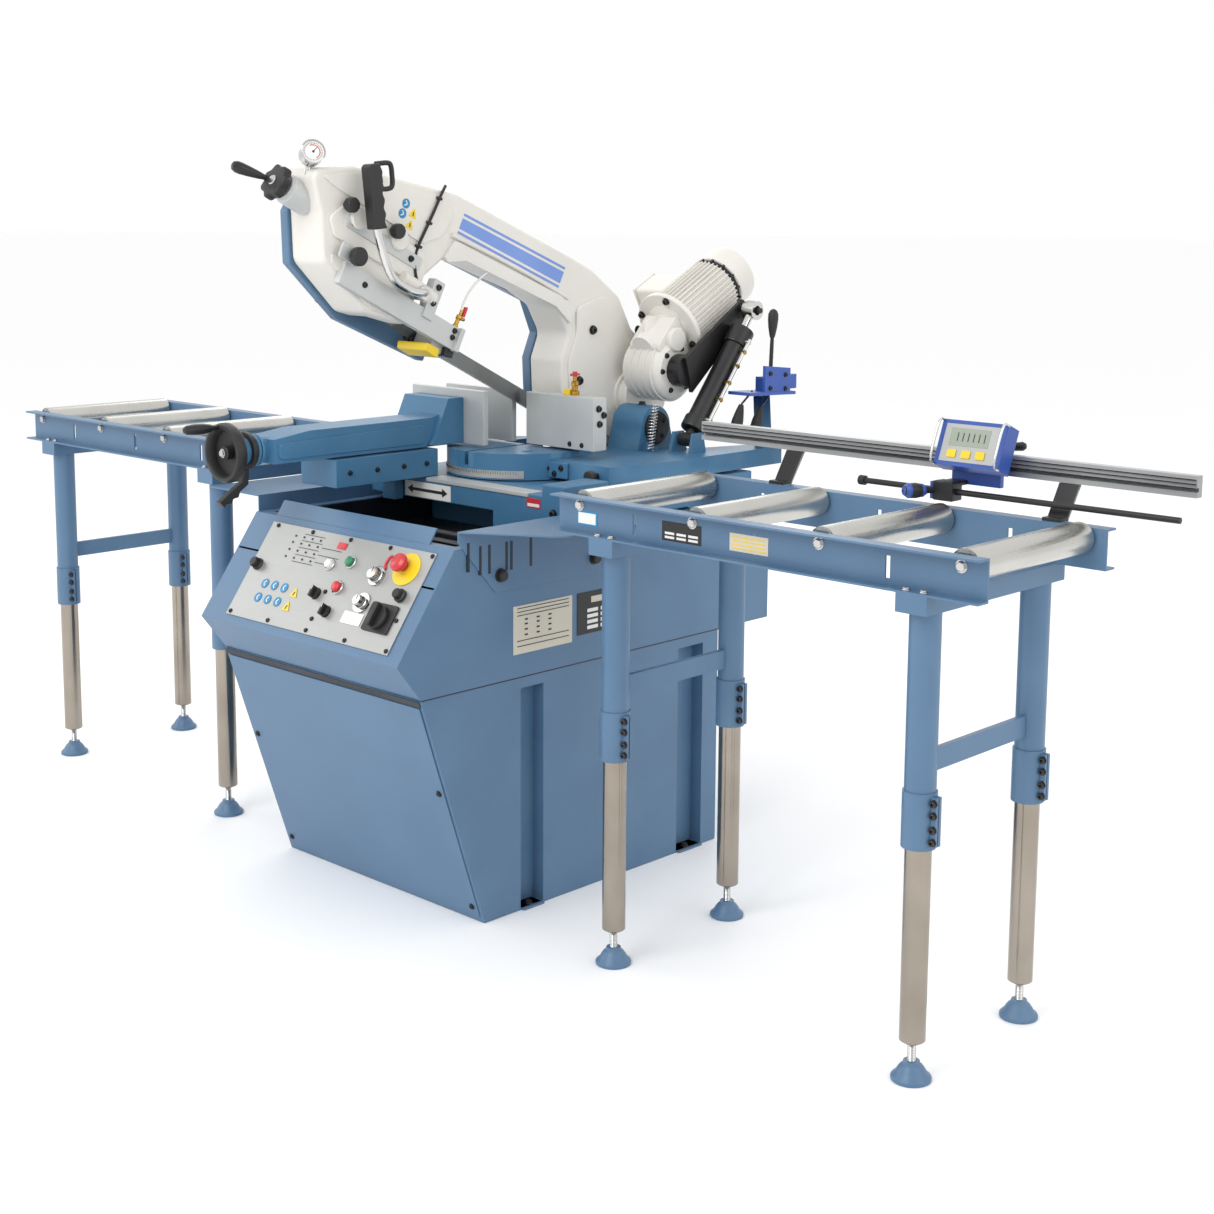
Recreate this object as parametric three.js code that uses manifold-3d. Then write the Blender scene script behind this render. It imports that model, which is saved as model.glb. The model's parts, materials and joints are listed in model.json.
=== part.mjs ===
// Horizontal band saw with a tilting, swivelling arm, a sliding vise and two roller tables.
// Millimetres, +Z up. The origin is on the floor in the middle of the lower cabinet,
// +X runs along the material feed and +Y points away from the operator.
import * as THREE from 'three';
import { mergeVertices } from 'three/addons/utils/BufferGeometryUtils.js';
import { ParametricGeometry } from 'three/addons/geometries/ParametricGeometry.js';
import Module from 'manifold-3d';

const wasm = await Module();
wasm.setup();

// ---------------------------------------------------------------- driving dimensions
const GAP = 0.3; // clearance between pieces that touch
const LARGE_SIDES = 32; // sides of a large round piece
const SIDES = 18; // sides of a small round piece

const CAB = { halfX: 346, front: -386, back: 386, topFront: -564, top: 530, wall: 4 };
const CASING = { chinY: -562, chinZ: 531, noseY: -626, noseZ: 612, ridgeY: -467, top: 836, back: 575 };
const TRAY = { halfX: 318, front: -440, back: 540, depth: 70 };
const PANEL = { left: -262, right: 304, low: 20, high: 258 }; // on the sloped console face

const TABLE = { length: 1010, nearWeb: -358, farWeb: 35, top: 970, depth: 77, flange: 32, sheet: 4 };
const RIGHT_TABLE_X = 549;
const LEFT_TABLE_X = -1531;
const ROLLER = { radius: 30, z: 950, first: 58, pitch: 300, count: 4 };
const LEG = { nearY: -343, farY: 20, outer: 28.5, bore: 24.8, tube: 24, collar: 31.5 };
const LEG_X_RIGHT = [691, 1426];
const LEG_X_LEFT = [-1417, -668];
const LEG_Z = { collarLow: 435, collarHigh: 538, braceLow: 565, braceHigh: 605, tubeTop: 640, stem: 74 };

const PIVOT = { x: -53, y: 98.5 }; // swivel axis, on the blade plane and the fence face
const TURNTABLE = { radius: 175, low: 908, top: 970 };
const BED = { top: 905, frontY: -132, low: 766.3 };
const JAW = { low: 976, top: 1105, fenceY: 98.5, thick: 15 };
const VISE = { x: -196, wheelY: -652, axisZ: 1005, half: 50, neck: 31, jawY: 3 };

const HINGE = { y: 369, z: 1009, shaft: 22 }; // tilt axis of the arm, along X
const TILT = 26.5; // degrees the arm is raised at rest
const ARM = { left: -95, right: 15 };
const WHEEL = { radius: 130, x: -50, half: 16, frontF: 903, rearF: -13, h: 82 };
const BLADE = { half: 17, thick: 1.1, twistStart: 60, twistEnd: 165, guideF: 615 };
const DRIVE = { x: 105, f: 25, h: 255, tilt: 55 }; // motor flange centre and axis angle
const RAM = { x: 240, baseY: 385, baseZ: 985, length: 388, reach: 51.8 }; // feed cylinder

const STOP = { x0: 530, x1: 1695, y0: 100, y1: 120, z0: 1036, z1: 1076, rodY: 50, rodZ: 1001 };

// ---------------------------------------------------------------- solid helpers
function solid(geometry) {
  let g = geometry.clone();
  g.deleteAttribute('normal');
  g.deleteAttribute('uv');
  g = mergeVertices(g, 1e-4);
  const vertProperties = new Float32Array(g.attributes.position.array);
  const triVerts = new Uint32Array(g.index.array);
  return new wasm.Manifold(new wasm.Mesh({ numProp: 3, vertProperties, triVerts }));
}

function union(...parts) {
  return parts.reduce((sum, part) => sum.add(part));
}

function toGeometry(manifold) {
  const mesh = manifold.getMesh();
  const g = new THREE.BufferGeometry();
  g.setAttribute('position', new THREE.BufferAttribute(new Float32Array(mesh.vertProperties), 3));
  g.setIndex(new THREE.BufferAttribute(new Uint32Array(mesh.triVerts), 1));
  return g;
}

const CYCLE_X = new THREE.Matrix4().makeBasis(
  new THREE.Vector3(0, 1, 0),
  new THREE.Vector3(0, 0, 1),
  new THREE.Vector3(1, 0, 0),
);
function box(x0, x1, y0, y1, z0, z1) {
  const g = new THREE.BoxGeometry(x1 - x0, y1 - y0, z1 - z0);
  g.translate((x0 + x1) / 2, (y0 + y1) / 2, (z0 + z1) / 2);
  return solid(g);
}

function shapeOf(points) {
  return new THREE.Shape(points.map(([a, b]) => new THREE.Vector2(a, b)));
}

function extruded(shape, depth, curveSegments = 8) {
  return new THREE.ExtrudeGeometry(shape, { depth, bevelEnabled: false, curveSegments });
}

// A prism along X from an outline of [y, z] points.
function prismX(points, x0, x1) {
  const shape = points instanceof THREE.Shape ? points : shapeOf(points);
  const g = extruded(shape, x1 - x0);
  g.translate(0, 0, x0);
  g.applyMatrix4(CYCLE_X);
  return solid(g);
}

// A prism along Z from an outline of [x, y] points.
function prismZ(points, z0, z1) {
  const g = extruded(shapeOf(points), z1 - z0);
  g.translate(0, 0, z0);
  return solid(g);
}

// A turned piece: profile of [radius, distance] points along the direction from the start point.
function turned(profile, start, direction, sides = SIDES) {
  const points = profile.map(([r, d]) => new THREE.Vector2(r, d));
  const g = new THREE.LatheGeometry(points, sides);
  const dir = new THREE.Vector3(...direction).normalize();
  g.applyQuaternion(new THREE.Quaternion().setFromUnitVectors(new THREE.Vector3(0, 1, 0), dir));
  g.translate(...start);
  return solid(g);
}

// The radius of a faceted hole that a round piece of this radius can turn in.
function holeRadius(radius, sides) {
  return (radius + GAP) / Math.cos(Math.PI / sides);
}

function rod(start, direction, length, radius, sides = SIDES) {
  return turned([[0, 0], [radius, 0], [radius, length], [0, length]], start, direction, sides);
}

function tube(points, radius, sides = 8, steps = 12) {
  const curve = new THREE.CatmullRomCurve3(points.map((p) => new THREE.Vector3(...p)));
  const ring = new THREE.Shape();
  ring.absarc(0, 0, radius, 0, Math.PI * 2, false);
  const g = new THREE.ExtrudeGeometry(ring, {
    steps,
    bevelEnabled: false,
    extrudePath: curve,
    curveSegments: sides / 2,
  });
  return solid(g);
}

// Turns a solid about an axis through a point, by degrees.
function turnedAbout(manifold, point, axis, degrees) {
  const g = toGeometry(manifold);
  g.translate(-point[0], -point[1], -point[2]);
  const q = new THREE.Quaternion();
  q.setFromAxisAngle(new THREE.Vector3(...axis).normalize(), THREE.MathUtils.degToRad(degrees));
  g.applyQuaternion(q);
  g.translate(...point);
  return solid(g);
}

function finish(color, roughness, metalness) {
  return () => new THREE.MeshStandardMaterial({ color, roughness, metalness });
}

const steelBlue = finish(0x5e7fa6, 0.45, 0.1);
const castBlue = finish(0x4f86af, 0.5, 0.1);
const deepBlue = finish(0x3b5fae, 0.4, 0.1);
const offWhite = finish(0xdedcda, 0.5, 0.05);
const chrome = finish(0xb8b4ac, 0.2, 1);
const groundSteel = finish(0xb4b6b6, 0.35, 0.9);
const blackPlastic = finish(0x1c1c1e, 0.55, 0);
const redPlastic = finish(0xb8202a, 0.4, 0);
const greenPlastic = finish(0x1f8a4c, 0.4, 0);

const saw = new THREE.Group();

function add(parent, name, shape, material) {
  const mesh = new THREE.Mesh(toGeometry(shape), material());
  mesh.name = name;
  parent.add(mesh);
}

// ---------------------------------------------------------------- lower cabinet and console
function lowerCabinet() {
  const w = CAB.wall;
  const outer = prismX(
    [[CAB.front, 0], [CAB.back, 0], [CAB.back, CAB.top], [CAB.topFront, CAB.top]],
    -CAB.halfX,
    CAB.halfX,
  );
  const inner = prismX(
    [[CAB.front + w, w], [CAB.back - w, w], [CAB.back - w, CAB.top + 1], [CAB.topFront + w, CAB.top + 1]],
    -CAB.halfX + w,
    CAB.halfX - w,
  );
  return outer.subtract(inner);
}

function upperCasing() {
  const w = CAB.wall;
  const c = CASING;
  const outer = prismX(
    [[c.chinY, c.chinZ], [c.back, c.chinZ], [c.back, c.top], [c.ridgeY, c.top], [c.noseY, c.noseZ]],
    -CAB.halfX,
    CAB.halfX,
  );
  const under = c.top - TRAY.depth - w;
  const hollow = prismX(
    [
      [c.chinY + w, c.chinZ - 1], [CAB.back - w, c.chinZ - 1], [CAB.back - w, c.chinZ + w],
      [c.back - w, c.chinZ + w], [c.back - w, under], [-520, under], [-605, 615],
    ],
    -CAB.halfX + w,
    CAB.halfX - w,
  );
  const pan = box(-TRAY.halfX, TRAY.halfX, TRAY.front, TRAY.back, c.top - TRAY.depth, c.top + 1);
  // The lip is a bent sheet that keeps coolant off the console.
  const lip = prismX(
    [
      [c.ridgeY + 2, c.top - 2], [c.ridgeY + 6, c.top - 2],
      [c.ridgeY + 28, c.top + 32], [c.ridgeY + 24, c.top + 32],
    ],
    -271,
    262,
  );
  return union(outer.subtract(hollow).subtract(pan), lip);
}

const slope = new THREE.Vector3(0, CASING.ridgeY - CASING.noseY, CASING.top - CASING.noseZ).normalize();
const normal = new THREE.Vector3(0, -slope.z, slope.y);

// A point on the sloped console face: across in X, up along the slope and out along its normal.
function onConsole(x, up, out) {
  const p = new THREE.Vector3(x, CASING.noseY, CASING.noseZ);
  p.addScaledVector(slope, up);
  p.addScaledVector(normal, out);
  return p.toArray();
}

function consolePlate() {
  const g = new THREE.BoxGeometry(PANEL.right - PANEL.left, PANEL.high - PANEL.low, 3);
  g.rotateX(Math.atan2(slope.z, slope.y));
  g.translate(...onConsole((PANEL.left + PANEL.right) / 2, (PANEL.low + PANEL.high) / 2, 1.5 + GAP));
  return solid(g);
}

function knob(x, up, radius, height, standoff) {
  const profile = [[0, 0], [radius, 0], [radius, height * 0.7], [radius * 0.85, height], [0, height]];
  return turned(profile, onConsole(x, up, 3.6 + standoff), normal.toArray());
}

// A sheet bridge between the casing and a roller table, with its hanging web. side is +1 or -1.
function sidePlate(side) {
  const x0 = CAB.halfX + GAP;
  const web = prismX([[-460, 850], [-354, 730], [60, 730], [60, 874], [-460, 874]], x0, x0 + 3);
  const top = prismZ([[x0, -460], [520, -355], [545, -330], [545, 60], [x0, 60]], 870, 874);
  const both = union(web, top);
  return side > 0 ? both : solid(toGeometry(both).rotateZ(Math.PI)).translate([0, -400, 0]);
}

add(saw, 'lower_cabinet', lowerCabinet(), steelBlue);
add(saw, 'upper_casing', upperCasing().translate([0, 0, GAP]), steelBlue);
add(saw, 'control_panel', consolePlate().translate([0, 0, GAP]), groundSteel);
add(saw, 'side_plate_right', sidePlate(1), steelBlue);
add(saw, 'side_plate_left', sidePlate(-1), steelBlue);

const CONSOLE_PIECES = [
  ['feed_knob', -238, 149, 14, 18, 0.3, blackPlastic],
  ['start_button', 63, 199, 11, 9, 4, greenPlastic],
  ['stop_button', 61, 137, 13, 9, 4, redPlastic],
  ['pump_selector', 1, 113, 13, 16, 0.3, blackPlastic],
  ['mode_selector', 60, 79, 13, 16, 0.3, blackPlastic],
  ['speed_knob', 162, 182, 18, 18, 0.3, chrome],
  ['pressure_knob', 157, 116, 15, 18, 0.3, chrome],
  ['main_switch', 232, 93, 27, 24, 0.3, blackPlastic],
  ['estop_button', 234, 214, 21, 26, 6, redPlastic],
];
for (const [name, x, up, radius, height, standoff, material] of CONSOLE_PIECES) {
  add(saw, name, knob(x, up, radius, height, standoff).translate([0, 0, GAP]), material);
}

// ---------------------------------------------------------------- machine bed and jaws
function machineBed() {
  const beam = prismX(
    [[BED.frontY, 852], [BED.frontY, BED.top], [60, BED.top], [60, 842], [-60, 842]],
    -335,
    130,
  );
  const pedestal = box(100, 314, BED.frontY, 520, BED.low, 850);
  const shelf = box(100, 334, BED.frontY, 520, 840, BED.top);
  const rear = box(-310, 110, 40, 520, BED.low, BED.top);
  const pad = box(262, 334, BED.frontY, 10, BED.top - 5, 931);
  const fencePost = box(-300, -246, 110, 170, BED.top - 5, 962);
  return union(beam, pedestal, shelf, rear, pad, fencePost);
}

function fixedJawRight() {
  const face = box(-28, 199, JAW.fenceY, JAW.fenceY + 18, JAW.low, JAW.top - 3);
  const block = box(32, 199, JAW.fenceY + 10, JAW.fenceY + 44, JAW.low, JAW.top - 3);
  return union(face, block);
}

add(saw, 'machine_bed', machineBed(), castBlue);
add(saw, 'fixed_jaw_right', fixedJawRight(), groundSteel);
add(
  saw,
  'fixed_jaw_left',
  union(
    box(-319, -78, JAW.fenceY, JAW.fenceY + JAW.thick, JAW.low, JAW.top - 3),
    box(-319, -240, JAW.fenceY + JAW.thick - 2, JAW.fenceY + 60, 962 + GAP, JAW.low + 40),
  ),
  groundSteel,
);

// ---------------------------------------------------------------- vise
function viseSlide() {
  const block = box(-262, -131, -400, -94, BED.top + 1, 971);
  const hook = box(-259, -214, -160, BED.frontY - 1, 845, BED.top + 5);
  return union(block, hook);
}

function viseBody() {
  const half = VISE.half;
  const x = VISE.x;
  const beam = prismX(
    [[-560, 975], [-40, 975], [-40, 1060], [-100, 1044], [-460, 1043], [-560, 1030]],
    x - half,
    x + half,
  );
  const head = prismX([[-110, 979], [-12 - GAP, 979], [-12 - GAP, 1088], [-60, 1088]], -292, -131);
  const neck = rod([x, -622, VISE.axisZ], [0, 1, 0], 80, VISE.neck, LARGE_SIDES);
  return union(beam, head, neck);
}

function viseHandwheel() {
  const y = VISE.wheelY;
  const disc = turned(
    [[0, 12], [50, 12], [52, -12], [62, -14], [66, -8], [66, 10], [58, 18], [16, 20], [16, 27], [0, 27]],
    [VISE.x, y, VISE.axisZ],
    [0, 1, 0],
    LARGE_SIDES,
  );
  const handle = turned(
    [[0, 0], [6, 0], [6, 24], [10, 26], [11, 80], [7, 88], [0, 88]],
    [VISE.x - 12, y - 10, VISE.axisZ + 56],
    [0, -1, 0],
  );
  return union(disc, handle);
}

function viseLockLever() {
  const x = VISE.x;
  const collar = rod([x, -606, VISE.axisZ], [0, 1, 0], 12, 41, LARGE_SIDES);
  const bore = rod([x, -608, VISE.axisZ], [0, 1, 0], 16, holeRadius(VISE.neck, LARGE_SIDES), LARGE_SIDES);
  const outline = [[-606, 970], [-594, 970], [-600, 925], [-668, 888], [-676, 900], [-612, 935]];
  const blade = prismX(outline, x - 8, x + 8);
  return union(collar, blade).subtract(bore);
}

add(saw, 'vise_slide', viseSlide(), castBlue);
add(saw, 'vise_body', viseBody(), castBlue);
add(saw, 'moving_jaw', box(-319, -59, -12, VISE.jawY, JAW.low, JAW.top + 2), groundSteel);
add(saw, 'vise_handwheel', viseHandwheel(), blackPlastic);
add(saw, 'vise_lock_lever', viseLockLever(), blackPlastic);

// ---------------------------------------------------------------- turntable
function turntable() {
  const t = TURNTABLE;
  const disc = rod([PIVOT.x, PIVOT.y, t.low], [0, 0, 1], t.top - t.low, t.radius, 72);
  const wing = prismZ(
    [[60, 45], [300, 45], [330, 120], [330, 640], [270, 640], [205, 440], [24, 440], [24, 120]],
    t.low + 4,
    955,
  );
  const cheek = prismX([[300, 940], [440, 940], [HINGE.y + 52, HINGE.z], [HINGE.y - 52, HINGE.z]], 50, 150);
  const hub = rod([50, HINGE.y, HINGE.z], [1, 0, 0], 100, 52, LARGE_SIDES);
  const post = prismX([[590, 940], [625, 940], [612, 1082], [580, 1082]], 285, 312);
  const lug = prismX([[355, 950], [415, 950], [403, 1003], [367, 1003]], 205, 275);
  const lugSlot = box(213, 267, 340, 430, 953, 1010);
  const lugPin = rod([205, RAM.baseY, RAM.baseZ], [1, 0, 0], 70, 8);
  const pocket = box(-130, 22, 122, 330, 925, 990);
  const bladeSlot = box(PIVOT.x - 3, PIVOT.x + 9, -90, 140, 938, 990);
  const shaftBore = holeRadius(HINGE.shaft, LARGE_SIDES);
  const shaftHole = rod([40, HINGE.y, HINGE.z], [1, 0, 0], 120, shaftBore, LARGE_SIDES);
  const body = union(disc, wing, cheek, hub, post, lug.subtract(lugSlot), lugPin);
  return body.subtract(pocket).subtract(bladeSlot).subtract(shaftHole);
}

add(saw, 'turntable', turntable(), castBlue);

// ---------------------------------------------------------------- feed cylinder
const ramDir = [
  0,
  Math.cos(THREE.MathUtils.degToRad(RAM.reach)),
  Math.sin(THREE.MathUtils.degToRad(RAM.reach)),
];

function ramPoint(distance) {
  return [RAM.x, RAM.baseY + ramDir[1] * distance, RAM.baseZ + ramDir[2] * distance];
}

function liftCylinder() {
  const barrel = rod(ramPoint(24), ramDir, 306, 27, LARGE_SIDES);
  const bore = rod(ramPoint(50), ramDir, 320, 11.5, LARGE_SIDES);
  const eye = rod([RAM.x - 20, RAM.baseY, RAM.baseZ], [1, 0, 0], 40, 17);
  const neck = rod(ramPoint(0), ramDir, 40, 12);
  const hole = rod([RAM.x - 30, RAM.baseY, RAM.baseZ], [1, 0, 0], 60, holeRadius(8, SIDES));
  return union(barrel, eye, neck).subtract(bore).subtract(hole);
}

function cylinderRod() {
  const shaft = rod(ramPoint(90), ramDir, RAM.length - 100, 11, LARGE_SIDES);
  const eye = rod([RAM.x - 17, ...ramPoint(RAM.length).slice(1)], [1, 0, 0], 34, 24);
  const hole = rod([RAM.x - 30, ...ramPoint(RAM.length).slice(1)], [1, 0, 0], 60, 12);
  return union(shaft, eye).subtract(hole);
}

add(saw, 'lift_cylinder', liftCylinder(), blackPlastic);
add(saw, 'cylinder_rod', cylinderRod(), chrome);

function valveBlock() {
  const plate = prismX([[500, 1090], [680, 1083], [680, 1091], [500, 1098]], 270, 340);
  const upright = prismX([[560, 1092], [660, 1088], [660, 1150], [560, 1160]], 330, 338);
  const body = box(278, 330.5, 596, 650, 1089, 1128);
  const solenoid = box(282, 326, 649, 700, 1096, 1132);
  return union(plate, upright, body, solenoid);
}

function valveLever() {
  return turned(
    [[0, 0], [5, 0], [4.5, 92], [9, 98], [13, 150], [9, 163], [0, 165]],
    [304, 622, 1131.5],
    [0, 0.05, 1],
  );
}

add(saw, 'valve_block', valveBlock(), deepBlue);
add(saw, 'valve_lever', valveLever(), blackPlastic);

// ---------------------------------------------------------------- saw arm
// The arm is drawn level: f runs forward from the hinge and h up from it. The group tilts it.
const arm = new THREE.Group();
arm.position.set(0, HINGE.y, HINGE.z);
arm.rotation.x = THREE.MathUtils.degToRad(-TILT);
saw.add(arm);

// A prism along X from an outline of [f, h] points.
function armPrism(points, x0, x1) {
  return prismX(points.map(([f, h]) => [-f, h]), x0, x1);
}

function armBox(x0, x1, f0, f1, h0, h1) {
  return box(x0, x1, -f1, -f0, h0, h1);
}

function armDisc(x0, x1, f, h, radius, sides = LARGE_SIDES) {
  return rod([x0, -f, h], [1, 0, 0], x1 - x0, radius, sides);
}

const REAR_FRONT = [[150, -62], [205, -18], [250, 62], [254, 128], [320, 172]];
const ARM_OUTLINE = [
  [714, -58], [851, -86], [1000, -34], [1050, 58], [1098, 112], [1098, 137], [1012, 187],
  [873, 225], [720, 268], [342, 299], [246, 304], [130, 286], [50, 232], [-13, 226],
  [-100, 200], [-150, 140], [-158, 60], [-130, -12], [-80, -52], [-13, -64],
  ...REAR_FRONT, [400, 176], [640, 148], [695, 118], [728, 60], [736, 20],
];

function sawArm() {
  const casting = armPrism(ARM_OUTLINE, ARM.left, ARM.right);
  const depth = WHEEL.x + WHEEL.half + 4;
  const front = armDisc(ARM.left - 1, depth, WHEEL.frontF, WHEEL.h, WHEEL.radius + 6);
  const rear = armDisc(ARM.left - 1, depth, WHEEL.rearF, WHEEL.h, WHEEL.radius + 6);
  const returnRun = armBox(ARM.left - 1, depth, -13, 903, 198, 222);
  const lowerRun = armBox(ARM.left - 1, depth, -13, 903, -78, -26);
  const narrow = armBox(-20, 40, 150, 340, -80, 200);
  const shaft = armDisc(ARM.right - 8, 149, 0, 0, HINGE.shaft, LARGE_SIDES);
  const cap = armDisc(150.5, 160, 0, 0, 41, LARGE_SIDES);
  const capNeck = armDisc(148, 152, 0, 0, 18, SIDES);
  const body = casting.subtract(front).subtract(rear).subtract(returnRun).subtract(lowerRun);
  return union(body.subtract(narrow), shaft, capNeck, cap);
}

const COVER_OUTLINE = [
  [560, -82], [831, -97], [1002, -42], [1056, 58], [1050, 110], [1000, 178], [873, 214],
  [720, 256], [342, 288], [246, 292], [130, 275], [-100, 195], [-150, 138], [-158, 60],
  [-130, -12], [-80, -52], [-13, -64], ...REAR_FRONT.slice(0, 4), [320, 183], [640, 158],
  [716, 60], [722, 0], [700, -30], [560, -34],
];

function wheel(f) {
  const w = WHEEL;
  const rim = armDisc(w.x - w.half, w.x + w.half, f, w.h, w.radius - 3);
  const dishA = armDisc(w.x - w.half - 1, w.x - 8, f, w.h, w.radius - 14);
  const dishB = armDisc(w.x + 8, w.x + w.half + 1, f, w.h, w.radius - 14);
  const hub = armDisc(w.x - w.half, w.x + w.half, f, w.h, 26, SIDES);
  return union(rim.subtract(dishA).subtract(dishB), hub);
}

// The band: flat on the wheels, turned upright between the guides.
function bandSection(s) {
  const w = WHEEL;
  const span = w.frontF - w.rearF;
  const arc = Math.PI * w.radius;
  const d = s * 2 * (span + arc);
  if (d < span) {
    const f = w.rearF + d;
    const rise = THREE.MathUtils.smoothstep(f, BLADE.twistStart, BLADE.twistEnd);
    const fall = THREE.MathUtils.smoothstep(f, BLADE.guideF + 40, w.frontF - 20);
    return { f, h: w.h - w.radius, angle: (rise - fall) * Math.PI / 2, turn: 0 };
  }
  if (d < span + arc) {
    const a = (d - span) / w.radius;
    return { f: w.frontF + w.radius * Math.sin(a), h: w.h - w.radius * Math.cos(a), angle: 0, turn: a };
  }
  if (d < 2 * span + arc) {
    return { f: w.frontF - (d - span - arc), h: w.h + w.radius, angle: 0, turn: Math.PI };
  }
  const a = (d - 2 * span - arc) / w.radius;
  const f = w.rearF - w.radius * Math.sin(a);
  return { f, h: w.h + w.radius * Math.cos(a), angle: 0, turn: Math.PI + a };
}

function sawBlade() {
  const corners = [[1, 1], [1, -1], [-1, -1], [-1, 1], [1, 1]];
  const surface = (u, v, target) => {
    const p = bandSection(v % 1);
    const [cw, ct] = corners[Math.round(u * 4)];
    const across = cw * BLADE.half;
    const out = ct * BLADE.thick / 2;
    // Local axes: width starts along X, thickness along the outward radius of the loop.
    const width = across * Math.cos(p.angle) - out * Math.sin(p.angle);
    const radial = across * Math.sin(p.angle) + out * Math.cos(p.angle);
    const f = p.f + radial * Math.sin(p.turn);
    const h = p.h - radial * Math.cos(p.turn);
    target.set(WHEEL.x + width, -f, h);
  };
  return solid(new ParametricGeometry(surface, 4, 72));
}

function guideBar() {
  const bar = armBox(16, 34, 588, 957, -62, -10);
  const block = armBox(-74, 17, 588, 648, -80, -14);
  const slit = armBox(WHEEL.x - 1.4, WHEEL.x + 1.4, 580, 655, -90, -28);
  return union(bar, block.subtract(slit));
}

function tensionHandwheel() {
  const wheelBody = turned(
    [[0, 0], [20, 0], [38, 6], [38, 22], [30, 30], [0, 30]],
    [-45, -1122, WHEEL.h],
    [0, -1, 0],
    LARGE_SIDES,
  );
  const stem = rod([-45, -1110, WHEEL.h], [0, -1, 0], 14, 10);
  const handle = turned(
    [[0, 0], [5, 0], [9, 16], [13, 66], [9, 78], [0, 80]],
    [-72, -1146, WHEEL.h + 6],
    [-0.35, -1, -0.1],
  );
  return union(wheelBody, stem, handle);
}

function tensionHousing() {
  return rod([-45, -1040, WHEEL.h], [0, -1, 0], 68, 33, LARGE_SIDES);
}

function pressureGauge() {
  const can = rod([-20, -1104, 160], [-0.25, -1, 0.1], 34, 26, LARGE_SIDES);
  const stem = rod([-20, -1088, 120], [0, -0.3, 1], 40, 8);
  return union(can, stem);
}

// The pistol grip runs up from GRIP.low to GRIP.top; "along" goes up it and "out" towards the guard.
const GRIP = { x: 68, lowF: 938, lowH: 74, topF: 1008, topH: 186, radius: 17 };
const gripDir = new THREE.Vector2(GRIP.topF - GRIP.lowF, GRIP.topH - GRIP.lowH).normalize();

function gripPoint(along, out) {
  return [GRIP.topF + along * gripDir.x - out * gripDir.y, GRIP.topH + along * gripDir.y + out * gripDir.x];
}

function gripPrism(points, halfWidth) {
  return armPrism(points.map(([a, n]) => gripPoint(a, n)), GRIP.x - halfWidth, GRIP.x + halfWidth);
}

function handleGrip() {
  const g = GRIP;
  const pipe = tube([[50, -742, 14], [62, -790, -2], [66, -850, 0], [g.x, -905, 40], [g.x, -945, 84]], 9);
  const middle = [g.x, -975, 130];
  const grip = tube([[g.x, -g.lowF, g.lowH], middle, [g.x, -g.topF, g.topH]], g.radius, 8, 4);
  const foot = armBox(ARM.right + GAP, 60, 722, 764, 0, 30);
  const guard = gripPrism([[-54, 10], [8, 10], [8, 48], [0, 56], [-44, 56], [-54, 46]], 8);
  const finger = gripPrism([[-44, 18], [-4, 18], [-4, 44], [-8, 48], [-40, 48], [-44, 42]], 20);
  const pocket = gripPrism([[-40, 7], [-7, 7], [-7, 19], [-40, 19]], 6.5);
  return union(pipe, grip, foot, guard).subtract(finger).subtract(pocket);
}

function trigger() {
  return gripPrism([[-36, 14], [-11, 12], [-10, 19], [-22, 25], [-37, 26]], 5.5);
}

add(arm, 'saw_arm', union(sawArm(), tensionHousing(), pressureGauge()), offWhite);
add(arm, 'blade_cover', armPrism(COVER_OUTLINE, -122, ARM.left - GAP), steelBlue);
add(arm, 'front_wheel', wheel(WHEEL.frontF), groundSteel);
add(arm, 'rear_wheel', wheel(WHEEL.rearF), groundSteel);
add(arm, 'saw_blade', sawBlade(), groundSteel);
add(arm, 'guide_bar', guideBar(), groundSteel);
add(arm, 'tension_handwheel', tensionHandwheel(), blackPlastic);
add(arm, 'handle_grip', handleGrip(), blackPlastic);
add(arm, 'trigger', trigger(), blackPlastic);

// ---------------------------------------------------------------- drive
const driveAngle = THREE.MathUtils.degToRad(DRIVE.tilt);
const driveDir = [0, Math.cos(driveAngle), Math.sin(driveAngle)];

function drivePoint(distance) {
  return [DRIVE.x, -DRIVE.f + driveDir[1] * distance, DRIVE.h + driveDir[2] * distance];
}

function gearbox() {
  const flange = armDisc(ARM.right + GAP, 49, WHEEL.rearF, WHEEL.h, 54, LARGE_SIDES);
  const housing = armDisc(47, 165, 8, 150, 76);
  const worm = rod(drivePoint(-104), driveDir, 104 - GAP, 33, LARGE_SIDES);
  const link = armPrism([[92, 176], [64, 280], [-23, 219], [-62, 176], [0, 100]], 60, 158);
  return union(flange, housing, worm, link);
}

function motor() {
  return turned(
    [[0, 0], [92, 0], [92, 14], [74, 18], [74, 205], [78, 207], [78, 262], [60, 280], [0, 280]],
    drivePoint(0),
    driveDir,
    LARGE_SIDES,
  );
}

function terminalBox() {
  return turnedAbout(box(-48, 48, -40, 40, -30, 30), [0, 0, 0], [1, 0, 0], DRIVE.tilt)
    .translate([DRIVE.x - 66, drivePoint(82)[1] - 42, drivePoint(82)[2] + 28]);
}

function cylinderBracket() {
  const pinF = -103.8;
  const pinH = 365.7;
  const boss = armDisc(165 + GAP, 202, 8, 150, 40, SIDES);
  const plate = armPrism([[42, 170], [-20, 105], [-126, 352], [-122, 382], [-90, 388]], 200.5, 212);
  const pin = armDisc(210, 268, pinF, pinH, 7, SIDES);
  return union(boss, plate, pin);
}

add(arm, 'gearbox', gearbox(), offWhite);
add(arm, 'motor', union(motor(), terminalBox()), offWhite);
add(arm, 'cylinder_bracket', cylinderBracket(), blackPlastic);

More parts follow.
